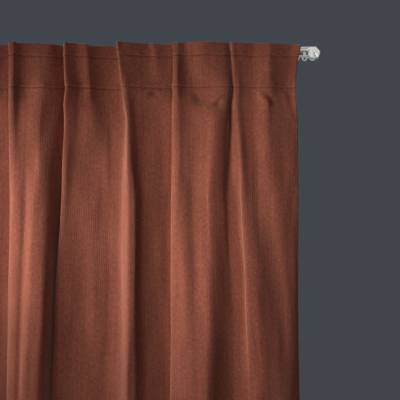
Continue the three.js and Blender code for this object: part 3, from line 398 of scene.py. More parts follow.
# ------------------------------------------------------------------ the curtain
def closed_cloth(name, front, back, back_rows, u, v, rim_out):
    """A closed sheet: every row on its face, some of them on its back, and a rounded rim."""
    m, n = front.shape[:2]
    verts = [front.reshape(-1, 3), back[back_rows].reshape(-1, 3)]
    F = np.arange(m * n).reshape(m, n)
    B = m * n + np.arange(len(back_rows) * n).reshape(len(back_rows), n)
    top = (front[0] + back[0]) / 2 + np.array([0, 0, rim_out])
    low = (front[-1] + back[-1]) / 2 - np.array([0, 0, rim_out])
    base = m * n + B.size
    T = base + np.arange(n)
    L = base + n + np.arange(n)
    verts += [top, low]
    faces, slots = [], []
    uv_u, uv_v = np.concatenate([u.ravel(), u[back_rows].ravel(), u[0], u[-1]]), np.concatenate([v.ravel(), v[back_rows].ravel(), v[0], v[-1]])
    a, b, c, d = F[:-1, :-1].ravel(), F[1:, :-1].ravel(), F[1:, 1:].ravel(), F[:-1, 1:].ravel()
    faces += np.stack([a, b, c, d], 1).tolist(); slots += [0] * len(a)
    a, b, c, d = B[:-1, :-1].ravel(), B[:-1, 1:].ravel(), B[1:, 1:].ravel(), B[1:, :-1].ravel()
    faces += np.stack([a, b, c, d], 1).tolist(); slots += [1] * len(a)
    for i in range(n - 1):
        faces += [[F[0, i], F[0, i + 1], T[i + 1], T[i]], [T[i], T[i + 1], B[0, i + 1], B[0, i]],
                  [F[-1, i + 1], F[-1, i], L[i], L[i + 1]], [L[i + 1], L[i], B[-1, i], B[-1, i + 1]]]
        slots += [0, 0, 0, 0]
    for k in range(len(back_rows) - 1):
        r0, r1 = back_rows[k], back_rows[k + 1]
        left = [F[r, 0] for r in range(r0, r1 + 1)]
        right = [F[r, n - 1] for r in range(r0, r1 + 1)]
        faces.append(left[::-1] + [B[k, 0], B[k + 1, 0]])
        faces.append(right + [B[k + 1, n - 1], B[k, n - 1]])
        slots += [0, 0]
    faces += [[F[0, 0], T[0], B[0, 0]], [F[0, n - 1], B[0, n - 1], T[n - 1]], [F[-1, 0], B[-1, 0], L[0]], [F[-1, n - 1], L[n - 1], B[-1, n - 1]]]
    slots += [0] * 4
    mesh = bpy.data.meshes.new(name)
    mesh.from_pydata(np.concatenate(verts).tolist(), [], [list(map(int, f)) for f in faces])
    mesh.polygons.foreach_set("material_index", slots)
    mesh.polygons.foreach_set("use_smooth", [True] * len(faces))
    layer = mesh.uv_layers.new(name="cloth")
    loops = np.empty(len(mesh.loops), int)
    mesh.loops.foreach_get("vertex_index", loops)
    layer.data.foreach_set("uv", np.stack([uv_u[loops], uv_v[loops]], 1).astype(np.float32).ravel())
    mesh.validate()
    mesh.update()
    obj = bpy.data.objects.new(name, mesh)
    bpy.context.scene.collection.objects.link(obj)
    return obj


def build_curtain():
    """The panel, and the lines (places, directions out) that its heading is stitched along."""
    drops = cloth_rows()
    sec, sag, cell = sections(drops)
    u = arcs_of(sec, cell)
    way = forward_of(sec)
    D = np.repeat(drops[:, None], sec.shape[1], 1)
    rise = relief(sec[..., 0], D, u)
    thick = np.where(drops >= CLOTH_DROP - HEM_H, HEM_T, CLOTH_T)[:, None]
    # behind the heading the tape lies flat; below it the back follows the face, and the cloth is nowhere too thin
    follow = np.minimum(rise, 0.3) * smoothstep(93, 103, D)
    least = follow - (thick - 0.7)
    rise = 0.5 * (rise + least + np.sqrt((rise - least) ** 2 + 0.09))
    face = sec + way * rise[..., None]
    # the side hems are turned to the back: there the cloth is double below the tape
    edge = np.minimum(u - u[:, :1], u[:, -1:] - u) * 1000
    double = 0.8 * (1 - smoothstep(SIDE_HEM - 1.5, SIDE_HEM + 1.5, edge)) * smoothstep(95, 100, D)
    rear = sec + way * (follow - thick - double)[..., None]
    drop_z = CLOTH_TOP - D - sag[None, :] * np.maximum(1 - D / SAG_DEPTH, 0) ** 2
    def to_world(s):
        return np.stack([s[..., 0], PLANE_Y - s[..., 1], drop_z], -1) * MM
    front, back = to_world(face), to_world(rear)
    keep = sorted(set([0, len(drops) - 1] + [i for i in range(len(drops)) if drops[i] < 130 and i % 2 == 0] + [i for i in range(len(drops)) if 130 <= drops[i] < 2390 and i % 2 == 1] + [i for i in range(len(drops)) if drops[i] >= 2390 and i % 2 == 0]))
    v = -D * MM
    print("cloth", front.shape, "back rows", len(keep), "arc mm", u.max() * 1000)
    lines = []
    for line in STITCH_ROWS:
        j = int(np.argmin(np.abs(drops - line)))
        lines.append((front[j] / MM, np.stack([way[j][:, 0], -way[j][:, 1], np.zeros(len(way[j]))], -1)))
    # blind stitches of the side hems and of the bottom hem, on the back
    hems = []
    under = np.stack([-way[..., 0], way[..., 1], np.zeros_like(D)], -1)
    rows = [k for k in keep if 104 < drops[k] < CLOTH_DROP - 8]
    for at in (SIDE_HEM - 3.0, None):
        line, out = [], []
        for k in rows:
            s = u[k] * 1000 - u[k, 0] * 1000
            d = at if at is not None else s[-1] - (SIDE_HEM - 3.0)
            line.append([np.interp(d, s, back[k, :, c]) / MM for c in range(3)])
            out.append([np.interp(d, s, under[k, :, c]) for c in range(3)])
        hems.append((np.array(line), np.array(out)))
    k = min(keep, key=lambda r: abs(drops[r] - (CLOTH_DROP - HEM_H + 4)))
    hems.append((back[k] / MM, under[k]))
    return closed_cloth("velvet_curtain", front, back, keep, u, v, 0.5 * MM), lines, hems


# ------------------------------------------------------------------ materials
def nodes_of(name):
    mat = bpy.data.materials.new(name)
    mat.use_nodes = True
    nt = mat.node_tree
    nt.nodes.clear()
    out = nt.nodes.new("ShaderNodeOutputMaterial")
    shader = nt.nodes.new("ShaderNodeBsdfPrincipled")
    nt.links.new(shader.outputs["BSDF"], out.inputs["Surface"])
    return mat, nt, shader


class Graph:
    def __init__(self, nt):
        self.nt = nt

    def put(self, socket, value):
        if isinstance(value, bpy.types.NodeSocket):
            self.nt.links.new(value, socket)
        elif value is not None:
            socket.default_value = value

    def math(self, op, a, b=None, c=None, clamp=False):
        n = self.nt.nodes.new("ShaderNodeMath")
        n.operation = op
        n.use_clamp = clamp
        for i, v in enumerate((a, b, c)):
            if v is not None:
                self.put(n.inputs[i], v)
        return n.outputs[0]

    def noise(self, vector, scale, detail=2.0, rough=0.5, dims="3D"):
        n = self.nt.nodes.new("ShaderNodeTexNoise")
        n.noise_dimensions = dims
        self.put(n.inputs["Vector"], vector)
        n.inputs["Scale"].default_value = scale
        n.inputs["Detail"].default_value = detail
        n.inputs["Roughness"].default_value = rough
        return n.outputs["Fac"]

    def vec(self, x, y, z=0.0):
        n = self.nt.nodes.new("ShaderNodeCombineXYZ")
        for i, v in enumerate((x, y, z)):
            self.put(n.inputs[i], v)
        return n.outputs[0]

    def ramp(self, fac, stops):
        n = self.nt.nodes.new("ShaderNodeValToRGB")
        e = n.color_ramp.elements
        while len(e) > len(stops):
            e.remove(e[-1])
        while len(e) < len(stops):
            e.new(0.5)
        for k, (p, c) in enumerate(stops):
            e[k].position = p
            e[k].color = (*c, 1.0)
        self.put(n.inputs[0], fac)
        return n.outputs[0]

    def mix(self, fac, a, b, blend="MIX"):
        n = self.nt.nodes.new("ShaderNodeMix")
        n.data_type = "RGBA"
        n.blend_type = blend
        self.put(n.inputs[0], fac)
        self.put(n.inputs[6], a if not isinstance(a, tuple) else (*a, 1.0))
        self.put(n.inputs[7], b if not isinstance(b, tuple) else (*b, 1.0))
        return n.outputs[2]

    def bump(self, height, distance, strength=1.0, normal=None):
        n = self.nt.nodes.new("ShaderNodeBump")
        n.inputs["Strength"].default_value = strength
        n.inputs["Distance"].default_value = distance
        self.put(n.inputs["Height"], height)
        if normal is not None:
            self.put(n.inputs["Normal"], normal)
        return n.outputs[0]


WALE = 0.0038         # rib to rib across the velvet, metres
VELVET = (0.190, 0.0488, 0.0290)
VELVET_DEEP = (0.116, 0.0276, 0.0163)
VELVET_PALE = (0.280, 0.0800, 0.0500)


def velvet_face():
    mat, nt, s = nodes_of("ribbed_velvet")
    g = Graph(nt)
    uv = nt.nodes.new("ShaderNodeUVMap")
    uv.uv_map = "cloth"
    sep = nt.nodes.new("ShaderNodeSeparateXYZ")
    nt.links.new(uv.outputs["UV"], sep.inputs[0])
    u, v = sep.outputs[0], sep.outputs[1]
    # each wale wanders a little and is not quite as wide as its neighbour
    wander = g.noise(g.vec(g.math("MULTIPLY", u, 70.0), g.math("MULTIPLY", v, 14.0)), 1.0, 3.0)
    place = g.math("ADD", u, g.math("MULTIPLY", g.math("SUBTRACT", wander, 0.5), 0.0022))
    phase = g.math("MULTIPLY", place, 2 * math.pi / WALE)
    rib = g.math("MULTIPLY_ADD", g.math("SINE", phase), 0.5, 0.5)
    rib_round = g.math("POWER", rib, 0.6)
    # the ribs read strongly in some places and are brushed flat in others
    seen = g.math("MULTIPLY_ADD", g.noise(g.vec(g.math("MULTIPLY", u, 16.0), g.math("MULTIPLY", v, 6.0)), 1.0, 3.0, 0.6), 1.6, -0.25, clamp=True)
    # pile: fine grain, tufts, and patches where it lies over and looks lighter or darker
    grain = g.noise(g.vec(g.math("MULTIPLY", u, 2200.0), g.math("MULTIPLY", v, 1300.0)), 1.0, 3.0, 0.6)
    tuft = g.noise(g.vec(g.math("MULTIPLY", u, 430.0), g.math("MULTIPLY", v, 190.0)), 1.0, 3.0, 0.65)
    fleck = g.noise(g.vec(g.math("MULTIPLY", u, 170.0), g.math("MULTIPLY", v, 130.0)), 1.0, 3.0, 0.7)
    lay = g.noise(g.vec(g.math("MULTIPLY", u, 30.0), g.math("MULTIPLY", v, 11.0)), 1.0, 4.0, 0.6)
    stripe = g.noise(g.vec(g.math("MULTIPLY", u, 190.0), g.math("MULTIPLY", v, 2.5)), 1.0, 2.0, 0.6)
    # the ribs' colour: paler on the crowns, darker in the channels between them; partly the bare ground weave, partly
    # painted shade in the grooves
    tone = g.math("MULTIPLY_ADD", g.math("MULTIPLY", g.math("SUBTRACT", rib_round, 0.6), seen), 0.27, 0.5)
    tone = g.math("ADD", tone, g.math("MULTIPLY", g.math("SUBTRACT", tuft, 0.5), 1.15))
    tone = g.math("ADD", tone, g.math("MULTIPLY", g.math("SUBTRACT", stripe, 0.5), 0.42))
    tone = g.math("ADD", tone, g.math("MULTIPLY", g.math("SUBTRACT", lay, 0.5), 0.6))
    tone = g.math("ADD", tone, g.math("MULTIPLY", g.math("SUBTRACT", grain, 0.5), 0.45))
    tone = g.math("ADD", tone, g.math("MULTIPLY", g.math("SUBTRACT", fleck, 0.5), 0.85))
    # mask for where the painted highlight on the seam lips shows, here more and there less
    lip_highlight_patches = g.math("MULTIPLY_ADD", g.noise(g.vec(g.math("MULTIPLY", u, 34.0), g.math("MULTIPLY", v, 10.0)), 1.0, 3.0, 0.6), 2.6, -0.7, clamp=True)
    # painted shade: along each seam row the colour is darkened where the groove lies in shade
    for line in STITCH_ROWS:
        off = g.math("ABSOLUTE", g.math("ADD", v, (line + 0.4) * MM))
        tone = g.math("SUBTRACT", tone, g.math("MULTIPLY", g.math("SUBTRACT", 1.0, g.math("MULTIPLY", off, 1 / 0.0019), clamp=True), 0.34))
        # painted highlight: the lip above each seam is painted paler, here more and there less
        off = g.math("ABSOLUTE", g.math("ADD", v, (line - 3.1) * MM))
        lip = g.math("SUBTRACT", 1.0, g.math("MULTIPLY", off, 1 / 0.0021), clamp=True)
        tone = g.math("ADD", tone, g.math("MULTIPLY", g.math("MULTIPLY", lip, lip_highlight_patches), 0.30))
    colour = g.ramp(tone, [(0.08, VELVET_DEEP), (0.5, VELVET), (0.95, VELVET_PALE)])
    nt.links.new(colour, s.inputs["Base Color"])
    height = g.math("MULTIPLY", rib_round, g.math("MULTIPLY_ADD", seen, 0.7, 0.3))
    height = g.math("ADD", height, g.math("MULTIPLY", grain, 0.3))
    height = g.math("ADD", height, g.math("MULTIPLY", tuft, 0.8))
    height = g.math("ADD", height, g.math("MULTIPLY", fleck, 1.6))
    nt.links.new(g.bump(height, 0.0005, 0.5), s.inputs["Normal"])
    s.inputs["Roughness"].default_value = 0.88
    s.inputs["Specular IOR Level"].default_value = 0.15
    s.inputs["Sheen Weight"].default_value = 0.65
    s.inputs["Sheen Roughness"].default_value = 0.42
    s.inputs["Sheen Tint"].default_value = (1.0, 0.82, 0.66, 1.0)
    return mat


def woven_back():
    mat, nt, s = nodes_of("woven_back")
    g = Graph(nt)
    uv = nt.nodes.new("ShaderNodeUVMap")
    uv.uv_map = "cloth"
    sep = nt.nodes.new("ShaderNodeSeparateXYZ")
    nt.links.new(uv.outputs["UV"], sep.inputs[0])
    u, v = sep.outputs[0], sep.outputs[1]
    warp = g.math("SINE", g.math("MULTIPLY", u, 2 * math.pi / 0.0013))
    weft = g.math("SINE", g.math("MULTIPLY", v, 2 * math.pi / 0.0013))
    weave = g.math("MULTIPLY_ADD", g.math("MULTIPLY", warp, weft), 0.5, 0.5)
    line = g.math("MULTIPLY_ADD", g.math("SINE", g.math("MULTIPLY", u, 2 * math.pi / WALE)), 0.5, 0.5)
    soft = g.noise(g.vec(g.math("MULTIPLY", u, 30.0), g.math("MULTIPLY", v, 8.0)), 1.0, 4.0, 0.6)
    fine = g.noise(g.vec(g.math("MULTIPLY", u, 900.0), g.math("MULTIPLY", v, 900.0)), 1.0, 2.0, 0.5)
    tone = g.math("ADD", g.math("MULTIPLY", weave, 0.35), g.math("MULTIPLY", line, 0.15))
    tone = g.math("ADD", tone, g.math("MULTIPLY", soft, 0.35))
    tone = g.math("ADD", tone, g.math("MULTIPLY", fine, 0.2))
    # painted shade: thin dark lines along the folded-in edges of the side hems and the bottom hem
    from_edge = g.math("MINIMUM", u, g.math("SUBTRACT", FLAT_W, u))
    for off in (g.math("SUBTRACT", from_edge, SIDE_HEM * MM), g.math("ADD", v, (CLOTH_DROP - HEM_H) * MM)):
        near = g.math("SUBTRACT", 1.0, g.math("MULTIPLY", g.math("ABSOLUTE", off), 1 / 0.0011), clamp=True)
        tone = g.math("SUBTRACT", tone, g.math("MULTIPLY", near, 0.45))
    colour = g.ramp(tone, [(0.15, (0.15, 0.045, 0.029)), (0.9, (0.30, 0.115, 0.080))])
    nt.links.new(colour, s.inputs["Base Color"])
    nt.links.new(g.bump(g.math("ADD", weave, g.math("MULTIPLY", line, 0.5)), 0.0003, 0.6), s.inputs["Normal"])
    s.inputs["Roughness"].default_value = 0.93
    s.inputs["Specular IOR Level"].default_value = 0.15
    return mat


# ------------------------------------------------------------------ mesh helpers
def mesh_piece(name, verts, faces, materials, slots=None, uv=None, angle=38):
    """A mesh object in metres; smooth, with edges sharper than the angle kept crisp."""
    mesh = bpy.data.meshes.new(name)
    mesh.from_pydata([tuple(map(float, v)) for v in verts], [], [tuple(map(int, f)) for f in faces])
    if slots is not None:
        mesh.polygons.foreach_set("material_index", slots)
    mesh.polygons.foreach_set("use_smooth", [True] * len(mesh.polygons))
    if uv is not None:
        layer = mesh.uv_layers.new(name="cloth")
        loops = np.empty(len(mesh.loops), int)
        mesh.loops.foreach_get("vertex_index", loops)
        layer.data.foreach_set("uv", np.asarray(uv, np.float32)[loops].ravel())
    for m in materials:
        mesh.materials.append(m)
    mesh.validate()
    mesh.update()
    mesh.set_sharp_from_angle(angle=math.radians(angle))
    obj = bpy.data.objects.new(name, mesh)
    bpy.context.scene.collection.objects.link(obj)
    return obj


class Shell:
    """Gathers closed shells, in mm, into one mesh."""
    def __init__(self):
        self.verts, self.faces = [], []

    def loft(self, rings, closed=False, ends=True):
        """Rings of equal length joined one to the next; the last joins the first when closed."""
        base, n = len(self.verts), len(rings[0])
        for ring in rings:
            self.verts += [tuple(p) for p in ring]
        count = len(rings)
        for j in range(count if closed else count - 1):
            a, b = base + j * n, base + ((j + 1) % count) * n
            for i in range(n):
                k = (i + 1) % n
                self.faces.append((a + i, a + k, b + k, b + i))
        if ends and not closed:
            self.faces.append(tuple(base + i for i in reversed(range(n))))
            self.faces.append(tuple(base + (count - 1) * n + i for i in range(n)))
        return base

    def piece(self, name, materials, angle=38):
        obj = mesh_piece(name, [(x * MM, y * MM, z * MM) for x, y, z in self.verts], self.faces, materials, angle=angle)
        bm = bmesh.new()
        bm.from_mesh(obj.data)
        bmesh.ops.recalc_face_normals(bm, faces=bm.faces)
        bm.to_mesh(obj.data)
        bm.free()
        obj.data.set_sharp_from_angle(angle=math.radians(angle))
        return obj


def united(name, shells, material, at=(0, 0, 0), mirror=False, angle=38):
    """The closed shells joined into one clean mesh."""
    parts = [s.piece(f"{name}_{k}", [material]) for k, s in enumerate(shells)]
    for other in parts[1:]:
        join = parts[0].modifiers.new("join", "BOOLEAN")
        join.operation, join.solver, join.object = "UNION", "EXACT", other
    bpy.context.view_layer.update()
    mesh = bpy.data.meshes.new_from_object(parts[0].evaluated_get(bpy.context.evaluated_depsgraph_get()))
    for part in parts:
        bpy.data.objects.remove(part)
    if mirror:
        mesh.transform(Matrix.Scale(-1, 4, (1, 0, 0)))
        mesh.flip_normals()
    mesh.transform(Matrix.Translation(Vector(at) * MM))
    mesh.name = name
    mesh.polygons.foreach_set("use_smooth", [True] * len(mesh.polygons))
    mesh.set_sharp_from_angle(angle=math.radians(angle))
    obj = bpy.data.objects.new(name, mesh)
    bpy.context.scene.collection.objects.link(obj)
    return obj


def filleted(points, radius, steps=4, closed=True):
    """The outline with its corners rounded."""
    pts = [np.array(p, float) for p in points]
    n, out = len(pts), []
    for i, p in enumerate(pts):
        if not closed and i in (0, n - 1):
            out.append(p)
            continue
        a, b = pts[i - 1] - p, pts[(i + 1) % n] - p
        la, lb = np.linalg.norm(a), np.linalg.norm(b)
        a, b = a / la, b / lb
        half = math.acos(max(-1.0, min(1.0, float(a @ b)))) / 2
        if half > math.radians(86):
            out.append(p)
            continue
        cut = min(radius / math.tan(half), 0.48 * min(la, lb))
        r = cut * math.tan(half)
        mid = (a + b) / np.linalg.norm(a + b)
        centre = p + mid * (r / math.sin(half))
        u, v = p + a * cut - centre, p + b * cut - centre
        total = math.atan2(u[0] * v[1] - u[1] * v[0], float(u @ v))
        for s in range(steps + 1):
            t = total * s / steps
            out.append(centre + np.array([u[0] * math.cos(t) - u[1] * math.sin(t), u[0] * math.sin(t) + u[1] * math.cos(t)]))
    return np.array(out)


def inset(outline, distance):
    """The closed outline moved to its inside (it runs counter-clockwise)."""
    p = np.asarray(outline, float)
    before, after = np.roll(p, 1, 0) - p, np.roll(p, -1, 0) - p
    u = -before / np.maximum(np.linalg.norm(before, axis=1, keepdims=True), 1e-9)
    v = after / np.maximum(np.linalg.norm(after, axis=1, keepdims=True), 1e-9)
    t = u + v
    t /= np.maximum(np.linalg.norm(t, axis=1, keepdims=True), 1e-9)
    stretch = 1 / np.maximum((t * u).sum(1), 0.6)
    return p + np.stack([-t[:, 1], t[:, 0]], 1) * (distance * stretch)[:, None]


def counter_clockwise(outline):
    p = np.asarray(outline, float)
    area = np.sum(p[:, 0] * np.roll(p[:, 1], -1) - p[:, 1] * np.roll(p[:, 0], -1))
    return p if area > 0 else p[::-1]


def eyelet(shell, centre, reach, hole, y0, y1, edge, turns=40, steps=3):
    """A plate with a round hole: reach gives its outer radius in each direction."""
    rings = []
    for k in range(turns):
        a = 2 * math.pi * k / turns
        r = reach(a)
        c, s = math.cos(a), math.sin(a)
        section = []
        for cr, cy, start in ((hole + edge, y0 + edge, 180), (r - edge, y0 + edge, 270), (r - edge, y1 - edge, 0), (hole + edge, y1 - edge, 90)):
            for q in range(steps + 1):
                t = math.radians(start + 90 * q / steps)
                section.append((cr + edge * math.cos(t), cy + edge * math.sin(t)))
        rings.append([(centre[0] + rr * c, yy, centre[1] + rr * s) for rr, yy in section])
    shell.loft(rings, closed=True, ends=False)


def rect(x0, x1, z0, z1, radius=0.8, steps=3):
    return filleted([(x0, z0), (x1, z0), (x1, z1), (x0, z1)], radius, steps)


# ------------------------------------------------------------------ rail, end caps, gliders and hooks, sizes as the solids have them
RAIL_DEPTH, RAIL_H, RAIL_WALL, RAIL_SLOT, RAIL_GROOVE, RAIL_GROOVE_Z = 18.0, 9.0, 1.4, 6.4, 0.6, -4.2
CAP_DEPTH, CAP_PLUG = 20.0, 3.4
CAP_OUTLINE = [(0, 0), (14.6, 0), (15.6, -0.8), (16.6, -3.2), (19.4, -5.6), (21.8, -8.6), (22.8, -11.8), (22.4, -15.2), (20.9, -18.6), (18.4, -21.8), (16.2, -23.2), (13.6, -23.4), (2.6, -22.6), (0, -19.4)]
HEAD = {"x": 8.0, "y": 13.0, "top": -3.3, "low": -7.3}
NECK = {"x": 5.4, "y": 5.0, "low": -16.4}
BAR = {"x": 15.6, "y": 7.0, "low": -19.8}
EYE = {"z": -23.0, "r": 5.2, "hole": 2.5, "y": 3.4}
CAP_EYE = {"x": 8.0, "z": -23.0, "r": 5.1}
HOOK = {"width": 2.6, "wire": 1.6, "low": -64.0, "up": -34.0, "pitch": 3.2, "tail": 6.5}
JOG_FROM = -2.2
CARRIED = ["left_edge"] + [n["pleat"] for n in NOSES] + ["right_edge"]


def mm_box(node):
    low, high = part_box(node)
    return [v * 1000 for v in low], [v * 1000 for v in high]


def rail_piece(material):
    (x0, _, _), (x1, _, _) = mm_box("rail")
    d, w, s, h, g, gz = RAIL_DEPTH / 2, RAIL_WALL, RAIL_SLOT / 2, RAIL_H, RAIL_GROOVE, RAIL_GROOVE_Z
    corner = lambda pts, r, n=4: pts if r == 0 else filleted(pts, r, n, closed=False)
    side = [(s, -h), (d, -h), (d, gz - g * 1.2), (d - g, gz), (d, gz + g * 1.2), (d, 0), (0, 0)]
    smooth = [np.array(side[0])]
    for i, r in ((1, 1.0), (2, 0.25), (3, 0.25), (4, 0.25), (5, 0.8)):
        smooth += list(filleted([smooth[-1], side[i], side[i + 1]], r, 4, closed=False))[1:-1]
    inside = list(filleted([(s, -h + w), (d - w, -h + w), (d - w, -w), (0, -w)], 0.5, 3, closed=False))[:-1]
    right = smooth
    left = [np.array([-y, z]) for y, z in right][::-1]
    inner_right = inside[::-1]
    inner_left = [np.array([-y, z]) for y, z in inside]
    profile = right + left + inner_left + inner_right
    shell = Shell()
    stations = [x0, x0 + 0.25] + list(np.linspace(x0 + 20, x1 - 20, 25)) + [x1 - 0.25, x1]
    shell.loft([[(x, y, z) for y, z in profile] for x in stations])
    obj = shell.piece("rail_fine", [material], angle=30)
    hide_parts("rail")
    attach(obj, "root")


def resampled(outline, spacing):
    """The closed outline with its points about evenly spaced."""
    p = np.vstack([outline, outline[:1]])
    run = np.concatenate([[0], np.cumsum(np.linalg.norm(np.diff(p, axis=0), axis=1))])
    at = np.linspace(0, run[-1], int(run[-1] / spacing) + 1)[:-1]
    return np.stack([np.interp(at, run, p[:, k]) for k in (0, 1)], 1)


def cap_piece(name, node, material, mirror):
    low, high = mm_box(node)
    shell, ring, plugs = Shell(), Shell(), Shell()
    o = resampled(counter_clockwise(filleted(CAP_OUTLINE, 1.5, 5)), 0.8)
    edge, y0, y1 = 1.1, -CAP_DEPTH / 2, CAP_DEPTH / 2
    heart = np.array([10.0, -12.0])
    def scoop(x, z):
        # the hollow between the rounded end and the eyelet
        across = (x - 13.3) * 0.94 + (z + 17.4) * 0.34
        along = -(x - 13.3) * 0.34 + (z + 17.4) * 0.94
        return 2.6 * math.exp(-0.5 * (across / 1.5) ** 2 - 0.5 * (along / 3.2) ** 2)
    rings = []
    flat = inset(o, edge)
    for t in (0.12, 0.3, 0.45, 0.6, 0.72, 0.84, 0.93):
        q = heart + (flat - heart) * t
        rings.append([(x, y0 + scoop(x, z), z) for x, z in q])
    for s in range(5):
        t = math.pi / 2 * s / 4
        q = inset(o, edge * (1 - math.sin(t)))
        rings.append([(x, y0 + edge * (1 - math.cos(t)) + scoop(x, z) * math.cos(t), z) for x, z in q])
    for s in range(4, -1, -1):
        t = math.pi / 2 * s / 4
        q = inset(o, edge * (1 - math.sin(t)))
        rings.append([(x, y1 - edge * (1 - math.cos(t)) - scoop(x, z) * math.cos(t), z) for x, z in q])
    for t in (0.93, 0.84, 0.72, 0.6, 0.45, 0.3, 0.12):
        q = heart + (flat - heart) * t
        rings.append([(x, y1 - scoop(x, z), z) for x, z in q])
    shell.loft(rings)
    eyelet(ring, (CAP_EYE["x"], CAP_EYE["z"]), lambda a: CAP_EYE["r"], EYE["hole"], -EYE["y"] / 2, EYE["y"] / 2, 1.1)
    plug = RAIL_DEPTH / 2 - RAIL_WALL - 0.35
    zs = (-RAIL_H + RAIL_WALL + 0.35, -RAIL_WALL - 0.35)
    plugs.loft([[(x, y, z) for y, z in filleted([(-p, zs[0]), (p, zs[0]), (p, zs[1]), (-p, zs[1])], 0.6, 2)] for x, p in ((-CAP_PLUG - 0.3, plug - 0.5), (-CAP_PLUG + 0.3, plug), (0.6, plug))])
    at = (high[0] if mirror else low[0], 0, 0)
    # the plug stands out of the cap's inner face, so the box starts there
    shift = -(CAP_PLUG + 0.3)
    at = (at[0] + (shift if mirror else -shift), 0, 0)
    obj = united(name, [shell, ring, plugs], material, at, mirror)
    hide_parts(node)
    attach(obj, "root")


def glider_shells():
    shells = []
    # foot, neck and shoulder as blocks seen from above; the eyelet plate as a shield round its hole
    def upright(x, y, z0, z1, edge, radius):
        shell = Shell()
        o = rect(-x / 2, x / 2, -y / 2, y / 2, radius)
        rings = []
        for s in range(4):
            t = math.pi / 2 * s / 3
            rings.append([(px, py, z0 + edge * (1 - math.cos(t))) for px, py in inset(o, edge * (1 - math.sin(t)))])
        for s in range(3, -1, -1):
            t = math.pi / 2 * s / 3
            rings.append([(px, py, z1 - edge * (1 - math.cos(t))) for px, py in inset(o, edge * (1 - math.sin(t)))])
        shell.loft(rings)
        shells.append(shell)
    upright(HEAD["x"], HEAD["y"], HEAD["low"], HEAD["top"], 0.6, 1.6)
    upright(NECK["x"], NECK["y"], NECK["low"] - 0.6, HEAD["low"] + 0.6, 0.3, 1.0)
    upright(BAR["x"], BAR["y"], BAR["low"], NECK["low"], 0.9, 1.8)
    top = BAR["low"] + 1.2 - EYE["z"]
    def reach(a):
        c, s = math.cos(a), math.sin(a)
        if s <= 0:
            return EYE["r"]
        # flank from the ring's side to the shoulder's corner, then the shoulder's underside
        x1, z1, x2, z2 = EYE["r"], 0.0, BAR["x"] / 2, top
        side = (x1 * (z2 - z1) - z1 * (x2 - x1)) / (abs(c) * (z2 - z1) - s * (x2 - x1) + 1e-9)
        over = top / s
        r = min(side if side > 0 else 1e9, over)
        return max(r, EYE["hole"] + 1.4)
    plate = Shell()
    eyelet(plate, (0.0, EYE["z"]), reach, EYE["hole"], -EYE["y"] / 2, EYE["y"] / 2, 1.0, turns=48)
    return shells + [plate]


def glider_pieces(material):
    master = united("glider_master", glider_shells(), material)
    for name in CARRIED + ["spare"]:
        low, high = mm_box("glider_" + name)
        mesh = master.data.copy()
        mesh.transform(Matrix.Translation(((low[0] + high[0]) / 2 * MM, 0, 0)))
        obj = bpy.data.objects.new("glider_fine_" + name, mesh)
        bpy.context.scene.collection.objects.link(obj)
        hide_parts("glider_" + name)
        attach(obj, "root")
    bpy.data.objects.remove(master)


def hook_piece(name, material):
    low, high = mm_box("hook_" + name)
    jogged = high[0] - low[0] > HOOK["width"] + 0.5
    w, half = HOOK["wire"], HOOK["width"] / 2
    if jogged and name == "left_edge":
        x_in, x_out = low[0] + half, high[0] - half
    elif jogged:
        x_in, x_out = high[0] - half, low[0] + half
    else:
        x_in = x_out = (low[0] + high[0]) / 2
    prong, leg, top = low[1] + w / 2, low[1] + HOOK["pitch"] + w / 2, EYE["z"] - w / 2
    tail = high[1] - w / 2
    line = [(tail, EYE["z"] - HOOK["tail"] + 0.2), (tail, top), (leg, top), (leg, HOOK["low"] + w / 2), (prong, HOOK["low"] + w / 2), (prong, HOOK["up"])]
    path = filleted(line, 0.82, 5, closed=False)
    # more points along the bar so that it can lead sideways smoothly
    full = []
    for a, b in zip(path[:-1], path[1:]):
        steps = max(1, int(np.linalg.norm(b - a) / 2.0))
        full += [a + (b - a) * k / steps for k in range(steps)]
    full.append(path[-1])
    full = np.array(full)
    t = np.gradient(full, axis=0)
    t /= np.linalg.norm(t, axis=1, keepdims=True)
    nrm = np.stack([-t[:, 1], t[:, 0]], 1)
    length = np.concatenate([[0], np.cumsum(np.linalg.norm(np.diff(full, axis=0), axis=1))])
    shell, rings = Shell(), []
    for i, (p, q) in enumerate(zip(full, nrm)):
        # the prong's and the tail's tips taper
        tip = min(1.0, 0.45 + 0.55 * min(length[i], length[-1] - length[i]) / 2.2)
        cross = rect(-half * tip, half * tip, -w / 2 * tip, w / 2 * tip, 0.42 * tip, 2)
        way = smoothstep(0.0, 1.0, (JOG_FROM - p[0]) / (JOG_FROM - leg - 1.2)) if jogged else 0.0
        x = x_in + (x_out - x_in) * float(way)
        rings.append([(x + cx, p[0] + q[0] * cy, p[1] + q[1] * cy) for cx, cy in cross])
    shell.loft(rings)
    obj = shell.piece("hook_fine_" + name, [material], angle=50)
    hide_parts("hook_" + name)
    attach(obj, "root")


# ------------------------------------------------------------------ the heading tape and the stitching
def eased_normals(way, sec, reach):
    """The forward directions averaged over a stretch of cloth, so that an offset behind a tight turn doesn't cross itself."""
    step = np.linalg.norm(np.diff(sec, axis=1), axis=-1)
    run = np.concatenate([np.zeros((len(sec), 1)), np.cumsum(step, 1)], 1)
    out = np.empty_like(way)
    for j in range(len(sec)):
        s = run[j]
        weight = np.exp(-0.5 * ((s[:, None] - s[None]) / reach) ** 2) * np.gradient(s)[None]
        v = weight @ way[j]
        out[j] = v / np.maximum(np.linalg.norm(v, axis=1, keepdims=True), 1e-9)
    return out


